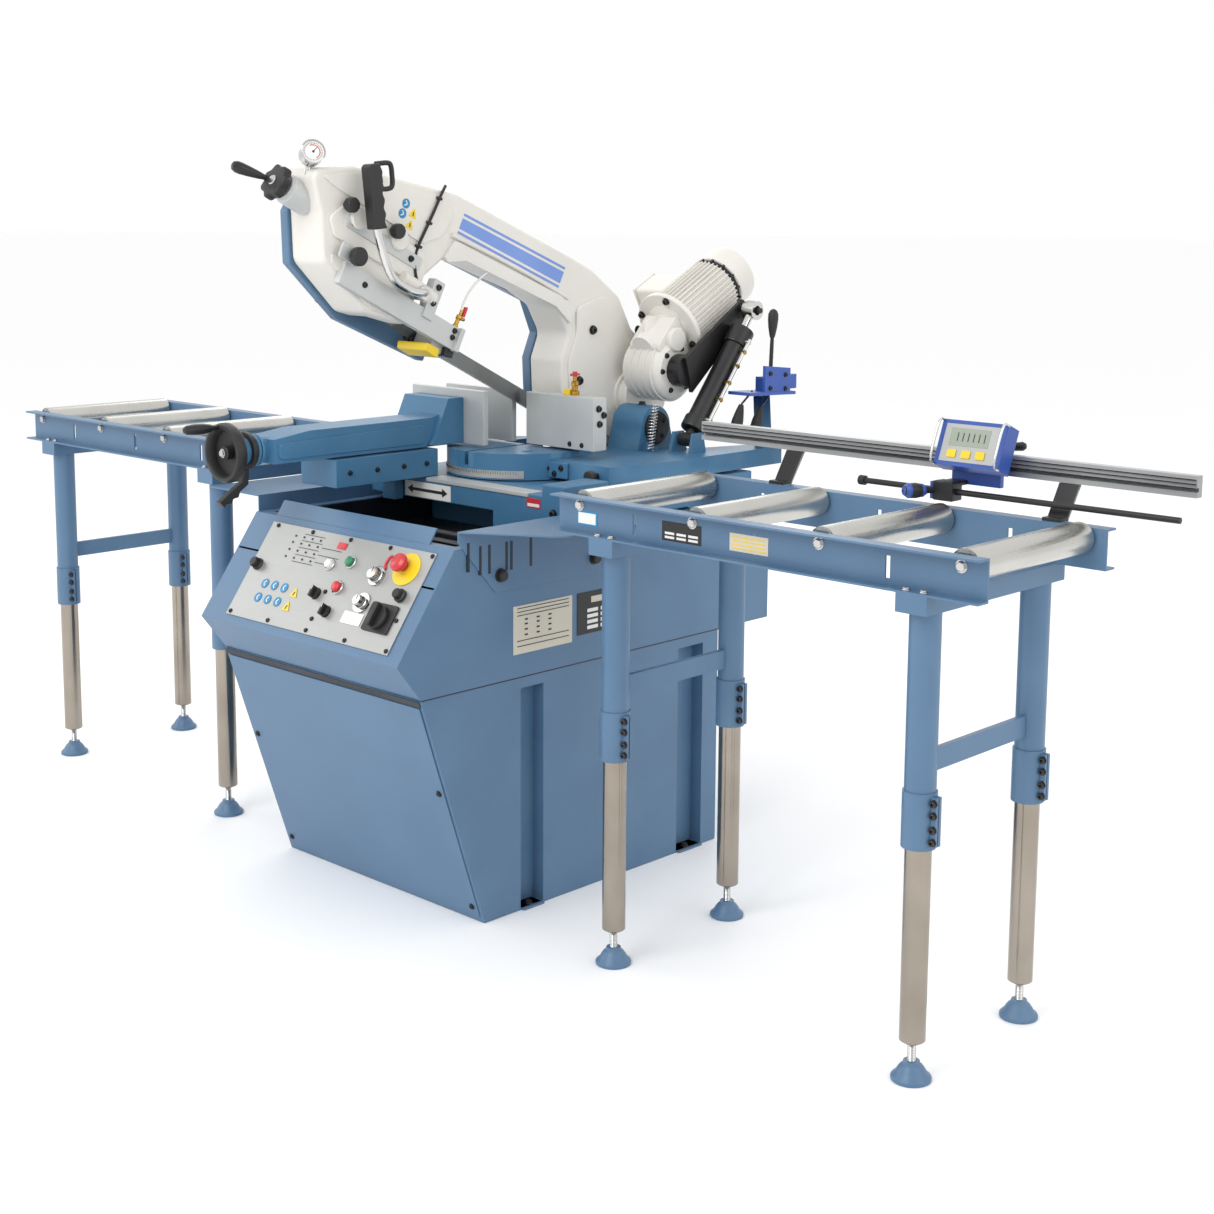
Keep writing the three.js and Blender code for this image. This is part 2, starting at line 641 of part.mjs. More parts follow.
// ---------------------------------------------------------------- roller tables
function rail(x0, web, outward) {
  const s = TABLE.sheet;
  const low = TABLE.top - TABLE.depth;
  const edge = web + outward * TABLE.flange;
  const sheet = (a, b, z0, z1) => box(x0, x0 + TABLE.length, Math.min(a, b), Math.max(a, b), z0, z1);
  const body = union(
    sheet(web, web + outward * s, low, TABLE.top),
    sheet(web, edge, TABLE.top - s, TABLE.top),
    sheet(web, edge, low, low + s),
  );
  const slots = [];
  for (let i = 0; i < ROLLER.count - 1; i++) {
    const x = x0 + ROLLER.first + ROLLER.pitch * (i + 0.5);
    slots.push(box(x - 5, x + 5, web - 8, web + 8, 908, 948));
  }
  return slots.reduce((part, slot) => part.subtract(slot), body);
}

function legSleeve(x, y) {
  const p = LEG_Z;
  const top = TABLE.top - TABLE.depth - 30;
  return turned(
    [
      [LEG.bore, p.collarLow], [LEG.collar, p.collarLow], [LEG.collar, p.collarHigh],
      [LEG.outer, p.collarHigh], [LEG.outer, top], [LEG.bore, top], [LEG.bore, p.collarLow],
    ],
    [x, y, 0],
    [0, 0, 1],
    SIDES,
  );
}

function tableFrame(x0, legs) {
  const low = TABLE.top - TABLE.depth;
  let body = union(rail(x0, TABLE.nearWeb, -1), rail(x0, TABLE.farWeb, 1));
  for (const x of legs) {
    const nearEdge = TABLE.nearWeb - TABLE.flange;
    const farEdge = TABLE.farWeb + TABLE.flange;
    const beam = box(x - 32, x + 32, nearEdge, farEdge, low - 34, low + 1);
    const brace = box(x - 6, x + 6, LEG.nearY + 26, LEG.farY - 26, LEG_Z.braceLow, LEG_Z.braceHigh);
    body = union(body, beam, legSleeve(x, LEG.nearY), legSleeve(x, LEG.farY), brace);
  }
  return body;
}

function roller(x) {
  const near = TABLE.nearWeb + GAP;
  const length = TABLE.farWeb - TABLE.nearWeb - 2 * GAP;
  return turned(
    [
      [0, 0], [8, 0], [8, 6], [ROLLER.radius, 6],
      [ROLLER.radius, length - 6], [8, length - 6], [8, length], [0, length],
    ],
    [x, near, ROLLER.z],
    [0, 1, 0],
    LARGE_SIDES,
  );
}

// The inner leg: a chromed tube, its threaded stem and the bell foot.
function innerLeg(x, y) {
  return turned(
    [
      [0, 0], [37, 0], [37, 6], [26, 26], [16, 34], [8, 36], [8, LEG_Z.stem],
      [LEG.tube, LEG_Z.stem], [LEG.tube, LEG_Z.tubeTop], [0, LEG_Z.tubeTop],
    ],
    [x, y, 0],
    [0, 0, 1],
    SIDES,
  );
}

const TABLES = [
  ['right', RIGHT_TABLE_X, LEG_X_RIGHT, ROLLER.first],
  ['left', LEFT_TABLE_X, LEG_X_LEFT, 44],
];
for (const [side, x0, legs, first] of TABLES) {
  add(saw, `${side}_table_frame`, tableFrame(x0, legs), steelBlue);
  for (let i = 0; i < ROLLER.count; i++) {
    add(saw, `${side}_roller_${i + 1}`, roller(x0 + first + ROLLER.pitch * i), chrome);
  }
  legs.forEach((x, i) => {
    add(saw, `${side}_leg_${i + 1}_near`, innerLeg(x, LEG.nearY), chrome);
    add(saw, `${side}_leg_${i + 1}_far`, innerLeg(x, LEG.farY), chrome);
  });
}

// ---------------------------------------------------------------- length stop
function stopRail() {
  const s = STOP;
  const bar = box(s.x0, s.x1, s.y0, s.y1, s.z0, s.z1);
  const slot = box(s.x0 - 1, s.x1 + 1, s.y0 - 1, s.y0 + 8, s.z0 + 10, s.z0 + 18);
  let body = bar.subtract(slot);
  for (const x of [790, 1441]) {
    const foot = box(x - 20, x + 20, 40, 67, TABLE.top + GAP, TABLE.top + 6);
    const low = TABLE.top + GAP;
    const outline = [[60, low], [67, low], [112, s.z0 + 1], [104, s.z0 + 1]];
    const strap = prismX(outline, x - 20, x + 20);
    body = union(body, foot, strap);
  }
  return body;
}

function readoutCarriage() {
  const s = STOP;
  const front = box(1190, 1300, 88, s.y0 - GAP, 1012, s.z1 + 8);
  const cap = box(1190, 1300, 88, 126, s.z1 + GAP, s.z1 + 8);
  const back = box(1190, 1300, s.y1 + GAP, 126, s.z0 + 6, s.z1 + 8);
  const reach = box(1190, 1226, 36, 99, 1012, 1020);
  const clamp = box(1176, 1226, 34, 66, 985, 1019);
  const bore = rod([1170, s.rodY, s.rodZ], [1, 0, 0], 60, holeRadius(6, SIDES));
  const handle = [[0, 0], [6, 0], [6, 20], [13, 30], [15, 62], [8, 72], [0, 73]];
  const lever = turned(handle, [1186, 40, 1002], [-0.5, -1, 0.02]);
  const housing = box(1184, 1330, 44, 84, 1044, 1136);
  const display = turnedAbout(housing, [1257, 64, 1090], [1, 0, 0], -22);
  const neck = box(1225, 1280, 72, 92, 1056, 1082);
  return union(front, cap, back, reach, clamp, lever, display, neck).subtract(bore);
}

function stopRod() {
  const s = STOP;
  const bar = rod([1003, s.rodY, s.rodZ], [1, 0, 0], 689, 6);
  const tip = rod([997, s.rodY, s.rodZ], [1, 0, 0], 14, 10);
  return union(bar, tip);
}

add(saw, 'stop_rail', stopRail(), groundSteel);
add(saw, 'readout_carriage', readoutCarriage(), deepBlue);
add(saw, 'stop_rod', stopRod(), blackPlastic);

export default saw;
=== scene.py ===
"""Horizontal band saw: finishes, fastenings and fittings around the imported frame.

Sizes are millimetres. Shapes are drawn in the row frame, in the arm's own frame
(x, forward, height), or on the console (x, up the slope, out of it).
"""

import json
import math

import bmesh
import bpy
from mathutils import Matrix, Vector


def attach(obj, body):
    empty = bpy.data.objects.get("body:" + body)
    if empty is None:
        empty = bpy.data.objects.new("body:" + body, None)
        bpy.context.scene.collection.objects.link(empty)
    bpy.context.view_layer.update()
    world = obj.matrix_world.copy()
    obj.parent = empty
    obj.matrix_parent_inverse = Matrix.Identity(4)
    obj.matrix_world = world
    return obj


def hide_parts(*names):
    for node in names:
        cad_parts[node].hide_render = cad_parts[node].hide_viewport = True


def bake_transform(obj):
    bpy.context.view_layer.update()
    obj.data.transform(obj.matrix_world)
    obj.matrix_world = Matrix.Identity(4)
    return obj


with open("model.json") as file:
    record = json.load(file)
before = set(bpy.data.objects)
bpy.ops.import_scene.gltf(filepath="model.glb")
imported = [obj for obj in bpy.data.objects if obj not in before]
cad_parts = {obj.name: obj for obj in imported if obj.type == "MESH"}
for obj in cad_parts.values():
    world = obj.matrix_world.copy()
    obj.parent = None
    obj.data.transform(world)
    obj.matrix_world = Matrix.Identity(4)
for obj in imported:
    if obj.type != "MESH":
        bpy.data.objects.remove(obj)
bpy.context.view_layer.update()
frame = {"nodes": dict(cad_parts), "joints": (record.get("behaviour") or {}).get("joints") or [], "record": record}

MM = 0.001
JOINTS = {joint["name"]: joint for joint in frame["joints"]}
SHARP = math.radians(38)
EDGE = math.radians(28)


def joint_point(name):
    """A joint's point, in millimetres."""
    return Vector(JOINTS[name]["pos_m"]) / MM


def basis(x, y, z, origin):
    """A place whose axes are x, y and z, in millimetres."""
    columns = Matrix((x, y, z)).transposed().to_4x4()
    return Matrix.Translation(origin) @ columns


WORLD = Matrix()
FORWARD = Vector(JOINTS["guide_travel"]["axis"])
RAISED = Vector((0, -FORWARD.z, FORWARD.y)) * -1
RIGHTWARD = Vector((1, 0, 0))
ARM = basis(RIGHTWARD, FORWARD, RAISED, joint_point("arm_tilt"))
OUTWARD = -Vector(JOINTS["start_press"]["axis"])
SLOPE = Vector((0, OUTWARD.z, -OUTWARD.y))
CONSOLE = basis(RIGHTWARD, SLOPE, OUTWARD, Vector((0, -626, 612.6)))
LEAN = Vector((0, -178, 530)).normalized()
FRONT = basis(RIGHTWARD, LEAN, Vector((0, -LEAN.z, LEAN.y)), Vector((0, -386, 0)))
PLATE = 3.9  # the console plate stands this far off the slope


# ---------------------------------------------------------------- finishes
def linear(code):
    """A colour written as six hexadecimal digits, as linear light."""
    parts = [int(code[i:i + 2], 16) / 255 for i in (0, 2, 4)]
    return [p / 12.92 if p <= 0.04045 else ((p + 0.055) / 1.055) ** 2.4 for p in parts] + [1]


def node(tree, kind, inputs=(), **settings):
    """A node with its settings, its input values and the links into it."""
    made = tree.nodes.new(kind)
    for key, value in settings.items():
        setattr(made, key, value)
    for key, value in dict(inputs).items():
        if isinstance(value, bpy.types.NodeSocket):
            tree.links.new(value, made.inputs[key])
        else:
            made.inputs[key].default_value = value
    return made


def sockets(tree, **named):
    """Named sockets on a group: each is (direction, kind, default)."""
    for name, (direction, kind, default) in named.items():
        made = tree.interface.new_socket(
            name.replace("_", " ").capitalize(), in_out=direction, socket_type="NodeSocket" + kind
        )
        if default is not None:
            made.default_value = default


def use_and_wear():
    """The group every finish shares: mottled tone, settled dust and a grain of fine marks."""
    tree = bpy.data.node_groups.new("use_and_wear", "ShaderNodeTree")
    sockets(
        tree,
        base=("INPUT", "Color", None), worn=("INPUT", "Color", None), dust=("INPUT", "Float", 0.1),
        mottle_scale=("INPUT", "Float", 6.0), grain_scale=("INPUT", "Float", 300.0),
        grain_stretch=("INPUT", "Vector", (1, 1, 1)), smoothest=("INPUT", "Float", 0.3),
        roughest=("INPUT", "Float", 0.5), color=("OUTPUT", "Color", None),
        roughness=("OUTPUT", "Float", None), height=("OUTPUT", "Float", None),
    )
    given = tree.nodes.new("NodeGroupInput").outputs
    place = node(tree, "ShaderNodeTexCoord").outputs["Object"]
    patches = {"Vector": place, "Scale": given["Mottle scale"], "Detail": 5}
    mottle = node(tree, "ShaderNodeTexNoise", patches)
    tone = node(tree, "ShaderNodeMapRange", {"Value": mottle.outputs[0], "From Min": 0.35, "From Max": 0.72})
    paint = node(tree, "ShaderNodeMix", data_type="RGBA")
    for key, source in ((0, tone.outputs[0]), (6, given["Base"]), (7, given["Worn"])):
        tree.links.new(source, paint.inputs[key])
    surface = node(tree, "ShaderNodeNewGeometry")
    facing = node(tree, "ShaderNodeSeparateXYZ", {0: surface.outputs["Normal"]})
    level = {"Value": facing.outputs["Z"], "From Min": 0.6, "From Max": 1.0}
    upward = node(tree, "ShaderNodeMapRange", level)
    settled = node(tree, "ShaderNodeMath", {0: upward.outputs[0], 1: tone.outputs[0]}, operation="MULTIPLY")
    amount = node(tree, "ShaderNodeMath", {0: settled.outputs[0], 1: given["Dust"]}, operation="MULTIPLY")
    dusty = node(tree, "ShaderNodeMix", data_type="RGBA")
    tree.links.new(amount.outputs[0], dusty.inputs[0])
    tree.links.new(paint.outputs[2], dusty.inputs[6])
    dusty.inputs[7].default_value = linear("b9b6ae")
    drawn = node(tree, "ShaderNodeVectorMath", {0: place, 1: given["Grain stretch"]}, operation="MULTIPLY")
    marks = {"Vector": drawn.outputs[0], "Scale": given["Grain scale"], "Detail": 3}
    grain = node(tree, "ShaderNodeTexNoise", marks)
    blend = node(tree, "ShaderNodeMath", {0: grain.outputs[0], 1: tone.outputs[0]}, operation="ADD")
    rough = node(tree, "ShaderNodeMapRange", {
        "Value": blend.outputs[0], "From Min": 0.3, "From Max": 1.4,
        "To Min": given["Smoothest"], "To Max": given["Roughest"]})
    out = tree.nodes.new("NodeGroupOutput")
    tree.links.new(dusty.outputs[2], out.inputs["Color"])
    tree.links.new(rough.outputs[0], out.inputs["Roughness"])
    tree.links.new(grain.outputs[0], out.inputs["Height"])
    return tree


WEAR = use_and_wear()


def finish(name, slot, base, worn, smoothest, roughest, metal=0.0, bump=0.15, coat=0.0, **wear):
    """A material: two tones, a gloss range and its own grain; its slot argument is not used."""
    material = bpy.data.materials.new(name)
    material.use_nodes = True
    tree = material.node_tree
    shader = tree.nodes["Principled BSDF"]
    group = node(tree, "ShaderNodeGroup", node_tree=WEAR)
    wear.update(base=linear(base), worn=linear(worn), smoothest=smoothest, roughest=roughest)
    for key, value in wear.items():
        group.inputs[key.replace("_", " ").capitalize()].default_value = value
    relief = {"Height": group.outputs["Height"], "Strength": bump, "Distance": 0.0006}
    raised = node(tree, "ShaderNodeBump", relief)
    tree.links.new(group.outputs["Color"], shader.inputs["Base Color"])
    tree.links.new(group.outputs["Roughness"], shader.inputs["Roughness"])
    tree.links.new(raised.outputs[0], shader.inputs["Normal"])
    shader.inputs["Metallic"].default_value = metal
    shader.inputs["Coat Weight"].default_value = coat
    return material


# brushing and rolling draw the grain out along one axis
DRAWN_X, DRAWN_Y, DRAWN_Z = (0.03, 1, 1), (1, 0.05, 1), (1, 1, 0.05)

sheet_blue = finish(
    "sheet_blue", "steel_blue_paint", "50708f", "597997", 0.32, 0.46, grain_scale=420, dust=0.10)
cast_blue = finish(
    "cast_blue", "cast_blue_paint", "3a6c90", "43769a", 0.34, 0.52, bump=0.5, grain_scale=160, dust=0.12)
deep_blue = finish("deep_blue", "deep_blue_paint", "2f50a0", "385aa8", 0.3, 0.45, grain_scale=300)
arm_white = finish(
    "arm_white", "off_white_paint", "d9d6cf", "e0ddd6", 0.34, 0.5, bump=0.45, grain_scale=130, dust=0.08)
ground = finish(
    "ground", "ground_steel", "bcbfbe", "c8cac8", 0.34, 0.5, 0.3, 0.25, grain_scale=260,
    grain_stretch=(1, 1, 0.04))
blade_steel = finish(
    "blade_steel", "ground_steel", "6f7273", "85888a", 0.26, 0.42, 0.9, 0.25, grain_scale=260,
    grain_stretch=DRAWN_Y)
plate_grey = finish(
    "plate_grey", "brushed_panel", "a9aaa8", "b4b5b2", 0.34, 0.5, 0.55, 0.2, grain_scale=420,
    grain_stretch=DRAWN_X)
aluminium = finish(
    "profile", "aluminium_profile", "bfc1c3", "c9cbcc", 0.34, 0.48, 0.75, 0.2, grain_scale=400,
    grain_stretch=DRAWN_X)
black = finish("black", "black_plastic", "1b1b1c", "232324", 0.36, 0.55, bump=0.35, grain_scale=700)
black_metal = finish(
    "black_metal", "black_steel", "161617", "202022", 0.26, 0.44, bump=0.3, grain_scale=260, dust=0.05)
bright = finish("bright", "chrome_bezel", "c4c4c4", "d0cfcc", 0.1, 0.22, 1.0, 0.08, grain_scale=500)
rod_chrome = finish("rod_chrome", "chrome_rod", "cfcfce", "d8d7d3", 0.08, 0.18, 1.0, 0.06, grain_scale=500)
stainless = finish(
    "stainless", "stainless_tube", "958c81", "aaa196", 0.13, 0.27, 1.0, 0.12, grain_scale=300,
    grain_stretch=DRAWN_Z)
zinc = finish(
    "zinc", "zinc_roller", "c3c2bd", "d0cfc9", 0.2, 0.36, 1.0, 0.15, grain_scale=320, grain_stretch=DRAWN_Y)
red = finish("red", "red_plastic", "c1272f", "cb333a", 0.22, 0.34, bump=0.06, coat=0.3)
green = finish("green", "green_plastic", "1a7a4c", "238556", 0.22, 0.34, bump=0.06, coat=0.3)
yellow = finish("yellow", "yellow_plastic", "e6c51e", "efd02f", 0.3, 0.44, bump=0.06)
white = finish("white", "white_label", "e6e5e1", "eeede9", 0.3, 0.46, bump=0.06)
beige = finish("beige", "brushed_panel", "c9c3b2", "d2ccbd", 0.34, 0.5, bump=0.06)
sign_blue = finish("sign_blue", "deep_blue_paint", "1f7fb0", "2a88b8", 0.3, 0.44, bump=0.06)
brass = finish("brass", "brass_fittings", "b68d3f", "c39c50", 0.2, 0.35, 1.0, 0.1)
rubber = finish("rubber", "black_rubber", "161616", "202020", 0.5, 0.68, bump=0.25, grain_scale=500)
clear_hose = finish("clear_hose", "black_rubber", "d9d8d2", "e4e3dd", 0.2, 0.34, bump=0.06, coat=0.4)
screen = finish("screen", "brushed_panel", "98a294", "a0aa9c", 0.18, 0.26, bump=0.04)
stripe_blue = finish("stripe_blue", "deep_blue_paint", "6f8fd0", "7998d5", 0.3, 0.42, bump=0.06)
# near black: the casing seam's dark joint, and painted shade in the chip tray, the panel gap, slots and vents
dark_joint_and_painted_shade = finish(
    "dark_joint_and_painted_shade", "black_steel", "151a24", "1d222c", 0.25, 0.5, bump=0.3, grain_scale=200, dust=0.1)


# ---------------------------------------------------------------- shapes
def rounded(points, radius, steps=5):
    """The outline with each corner turned into an arc, as far as its two sides allow."""
    corners = [Vector(p) for p in points]
    out = []
    for i, corner in enumerate(corners):
        before, after = corners[i - 1] - corner, corners[(i + 1) % len(corners)] - corner
        angle = before.angle(after)
        reach = min(radius / math.tan(angle / 2), before.length * 0.45, after.length * 0.45)
        if reach < 0.2 or angle > math.radians(176):
            out.append(corner)
            continue
        start, end = corner + before.normalized() * reach, corner + after.normalized() * reach
        for step in range(steps + 1):
            t = step / steps
            out.append(start * (1 - t) ** 2 + corner * 2 * t * (1 - t) + end * t ** 2)
    return out


def circle(radius, sides=32, across=0.0, up=0.0):
    turn = [2 * math.pi * i / sides for i in range(sides)]
    return [(across + radius * math.cos(a), up + radius * math.sin(a)) for a in turn]


def smooth_path(points, steps=8):
    """A curve through the points, as a list of points."""
    p = [Vector(q) for q in points]
    p = [2 * p[0] - p[1], *p, 2 * p[-1] - p[-2]]
    out = []
    for i in range(1, len(p) - 2):
        for step in range(steps):
            t = step / steps
            a, b, c, d = p[i - 1:i + 3]
            out.append(0.5 * (2 * b + (c - a) * t + (2 * a - 5 * b + 4 * c - d) * t ** 2
                              + (3 * b - a - 3 * c + d) * t ** 3))
    return out + [p[-2]]


class Shape:
    """Closed solids gathered in one mesh, drawn in millimetres in the frame of a place."""

    def __init__(self, place=WORLD):
        self.place = place
        self.mesh = bmesh.new()

    def keep(self, part, bevel=0.0, steps=2):
        if bevel:
            edges = [e for e in part.edges if e.is_manifold and e.calc_face_angle(0) > EDGE]
            bmesh.ops.bevel(part, geom=edges, offset=bevel, segments=steps, profile=0.5,
                            affect="EDGES", clamp_overlap=True)
        part.transform(Matrix.Scale(MM, 4) @ self.place)
        bmesh.ops.recalc_face_normals(part, faces=part.faces)
        holder = bpy.data.meshes.new("holder")
        part.to_mesh(holder)
        part.free()
        self.mesh.from_mesh(holder)
        bpy.data.meshes.remove(holder)
        return self

    def prism(self, outline, low, high, bevel=1.0, along="x", steps=2):
        """An outline drawn across two axes and stretched along the third."""
        place = {
            "x": lambda a, b, s: (s, a, b),
            "y": lambda a, b, s: (a, s, b),
            "z": lambda a, b, s: (a, b, s),
        }[along]
        part = bmesh.new()
        rings = [[part.verts.new(place(a, b, s)) for a, b in outline] for s in (low, high)]
        part.faces.new(rings[0])
        part.faces.new(rings[1])
        for i in range(len(outline)):
            part.faces.new((rings[0][i - 1], rings[0][i], rings[1][i], rings[1][i - 1]))
        bmesh.ops.recalc_face_normals(part, faces=part.faces)
        return self.keep(part, bevel, steps)

    def box(self, x, y, z, bevel=1.0, steps=2):
        outline = [(y[0], z[0]), (y[1], z[0]), (y[1], z[1]), (y[0], z[1])]
        return self.prism(outline, x[0], x[1], bevel, "x", steps)

    def turned(self, profile, start, direction=(0, 0, 1), sides=32):
        """A profile of (radius, distance) turned about a direction from the start."""
        turn = Vector((0, 0, 1)).rotation_difference(Vector(direction).normalized())
        part = bmesh.new()
        rings = []
        for radius, distance in profile:
            around = circle(radius, sides) if radius else [(0, 0)]
            ring = [Vector((a, b, distance)) for a, b in around]
            rings.append([part.verts.new(turn @ v + Vector(start)) for v in ring])
        for low, high in zip(rings, rings[1:]):
            for i in range(sides):
                here, there = i % len(low), i % len(high)
                corners = [low[(i - 1) % len(low)], low[here], high[there], high[(i - 1) % len(high)]]
                part.faces.new(list(dict.fromkeys(corners)))
        return self.keep(part)

    def rod(self, start, direction, length, radius, sides=24, edge=1.0):
        edge = min(edge, radius * 0.4, length * 0.4)
        soft = edge * 0.3
        end = [(0, 0), (radius - edge, 0), (radius - soft, soft), (radius, edge)]
        return self.turned(end + [(r, length - z) for r, z in reversed(end)], start, direction, sides)

    def pipe(self, points, radius, sides=14, steps=8):
        """A round bar along a smooth path, closed at both ends."""
        path = smooth_path(points, steps)
        part = bmesh.new()
        rings = []
        side = None
        for i, point in enumerate(path):
            ahead = (path[min(i + 1, len(path) - 1)] - path[max(i - 1, 0)]).normalized()
            side = ahead.orthogonal() if side is None else side - ahead * side.dot(ahead)
            side.normalize()
            other = ahead.cross(side)
            rings.append([part.verts.new(point + side * a + other * b) for a, b in circle(radius, sides)])
        for low, high in zip(rings, rings[1:]):
            for i in range(sides):
                part.faces.new((low[i - 1], low[i], high[i], high[i - 1]))
        part.faces.new(rings[0])
        part.faces.new(rings[-1])
        return self.keep(part)

    def minus(self, other):
        """Cuts another shape out of this one."""
        blocks = []
        for shape in (self, other):
            data = bpy.data.meshes.new("block")
            shape.mesh.to_mesh(data)
            block = bpy.data.objects.new("block", data)
            bpy.context.collection.objects.link(block)
            blocks.append(block)
        cutter = blocks[0].modifiers.new("cut", "BOOLEAN")
        cutter.operation = "DIFFERENCE"
        cutter.solver = "EXACT"
        cutter.object = blocks[1]
        result = blocks[0].evaluated_get(bpy.context.evaluated_depsgraph_get()).to_mesh()
        self.mesh.clear()
        self.mesh.from_mesh(result)
        for block in blocks:
            bpy.data.objects.remove(block)
        return self

    def done(self, name, material, body, *replaced):
        """The finished piece, riding on its body."""
        data = bpy.data.meshes.new(name)
        bmesh.ops.triangulate(self.mesh, faces=[f for f in self.mesh.faces if len(f.verts) > 4])
        self.mesh.to_mesh(data)
        self.mesh.free()
        data.materials.append(material)
        data.shade_smooth()
        data.set_sharp_from_angle(angle=SHARP)
        piece = bpy.data.objects.new(name, data)
        bpy.context.collection.objects.link(piece)
        even = piece.modifiers.new("even_shading", "WEIGHTED_NORMAL")
        even.keep_sharp = True
        return handed_over(piece, body, replaced)


def handed_over(piece, body, replaced=()):
    """Rides a piece on its body, when it has one, and hides the CAD nodes it replaces."""
    if body:
        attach(piece, body)
    if replaced:
        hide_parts(*replaced)
    return piece


BODIES = frame["record"]["behaviour"]["bodies"]
BODY_OF = {name: body for body, names in BODIES.items() for name in names}


def refined(name, material, bevel=1.5, steps=2):
    """A CAD node's own shape with its doubles merged and its edges rounded."""
    part = bmesh.new()
    part.from_mesh(frame["nodes"][name].data)
    bmesh.ops.remove_doubles(part, verts=part.verts, dist=2e-5)
    bmesh.ops.dissolve_limit(part, angle_limit=math.radians(0.5), verts=part.verts, edges=part.edges)
    part.transform(Matrix.Scale(1 / MM, 4))
    shape = Shape()
    shape.keep(part, bevel, steps)
    return shape.done(name + "_finished", material, BODY_OF[name], name)


# ---------------------------------------------------------------- repeated fittings
def points_tree(name, inputs):
    """A geometry tree's start: its named inputs and its points turned to face their way."""
    tree = bpy.data.node_groups.new(name, "GeometryNodeTree")
    tree.interface.new_socket("Geometry", in_out="INPUT", socket_type="NodeSocketGeometry")
    tree.interface.new_socket("Geometry", in_out="OUTPUT", socket_type="NodeSocketGeometry")
    for key, (kind, default) in inputs.items():
        socket = tree.interface.new_socket(key, in_out="INPUT", socket_type="NodeSocket" + kind)
        socket.default_value = default
    tree.interface.new_socket("Finish", in_out="INPUT", socket_type="NodeSocketMaterial")
    given = tree.nodes.new("NodeGroupInput").outputs
    points = node(tree, "GeometryNodeMeshToPoints", {"Mesh": given["Geometry"]})
    turn = None
    for axis, key in (("Z", "facing"), ("X", "along")):
        way = node(tree, "GeometryNodeInputNamedAttribute", {"Name": key}, data_type="FLOAT_VECTOR")
        settings = {"Vector": way.outputs[0]}
        if turn:
            settings["Rotation"] = turn.outputs[0]
        turn = node(tree, "FunctionNodeAlignRotationToVector", settings, axis=axis,
                    pivot_axis="AUTO" if axis == "Z" else "Z")
    return tree, given, points.outputs[0], turn.outputs[0]


def end_tree(tree, given, points, turn, item):
    """A geometry tree's end: the item on every point, made real and painted."""
    repeats = {"Points": points, "Instance": item, "Rotation": turn}
    placed = node(tree, "GeometryNodeInstanceOnPoints", repeats)
    real = node(tree, "GeometryNodeRealizeInstances", {"Geometry": placed.outputs[0]})
    coat = {"Geometry": real.outputs[0], "Material": given["Finish"]}
    painted = node(tree, "GeometryNodeSetMaterial", coat)
    tree.links.new(painted.outputs[0], tree.nodes.new("NodeGroupOutput").inputs[0])
    return tree


def screw_tree():
    """A washer, a chamfered head and a hexagon socket, on every point."""
    tree, given, points, turn = points_tree("screws", {
        "Head radius": ("Float", 0.005), "Head height": ("Float", 0.004),
        "Head sides": ("Int", 6), "Socket share": ("Float", 0.0)})
    radius, height = given["Head radius"], given["Head height"]

    def share(value, factor):
        return node(tree, "ShaderNodeMath", {0: value, 1: factor}, operation="MULTIPLY").outputs[0]

    def cone(low, high, depth, sides, lift):
        made = node(tree, "GeometryNodeMeshCone", {
            "Vertices": sides, "Radius Bottom": low, "Radius Top": high, "Depth": depth})
        offset = node(tree, "ShaderNodeCombineXYZ", {"Z": lift})
        moved = {0: made.outputs[0], "Translation": offset.outputs[0]}
        return node(tree, "GeometryNodeTransform", moved).outputs[0]

    sides = given["Head sides"]
    washer = cone(share(radius, 1.3), share(radius, 1.24), share(height, 0.25), 24, 0.0)
    head = cone(radius, radius, share(height, 0.7), sides, share(height, 0.2))
    crown = cone(share(radius, 0.995), share(radius, 0.8), share(height, 0.12), sides, share(height, 0.9))
    joined = node(tree, "GeometryNodeJoinGeometry")
    for item in (crown, head, washer):
        tree.links.new(item, joined.inputs[0])
    hexagon = share(radius, given["Socket share"])
    socket = cone(hexagon, hexagon, height, 6, share(height, 0.5))
    meshes = {"Mesh 1": joined.outputs[0], "Mesh 2": socket}
    cut = node(tree, "GeometryNodeMeshBoolean", meshes, operation="DIFFERENCE")
    chosen = node(tree, "GeometryNodeSwitch", {
        "Switch": node(tree, "FunctionNodeCompare", {0: given["Socket share"], 1: 0.01}).outputs[0],
        "False": joined.outputs[0], "True": cut.outputs[0]}, input_type="GEOMETRY")
    return end_tree(tree, given, points, turn, chosen.outputs[0])


def bar_tree():
    """A plain small bar on every point: fins, ticks, slots, knurls and serrations."""
    tree, given, points, turn = points_tree("bars", {"Bar size": ("Vector", (0.001, 0.001, 0.001))})
    bar = node(tree, "GeometryNodeMeshCube", {"Size": given["Bar size"]})
    return end_tree(tree, given, points, turn, bar.outputs[0])


SCREWS, BARS = screw_tree(), bar_tree()


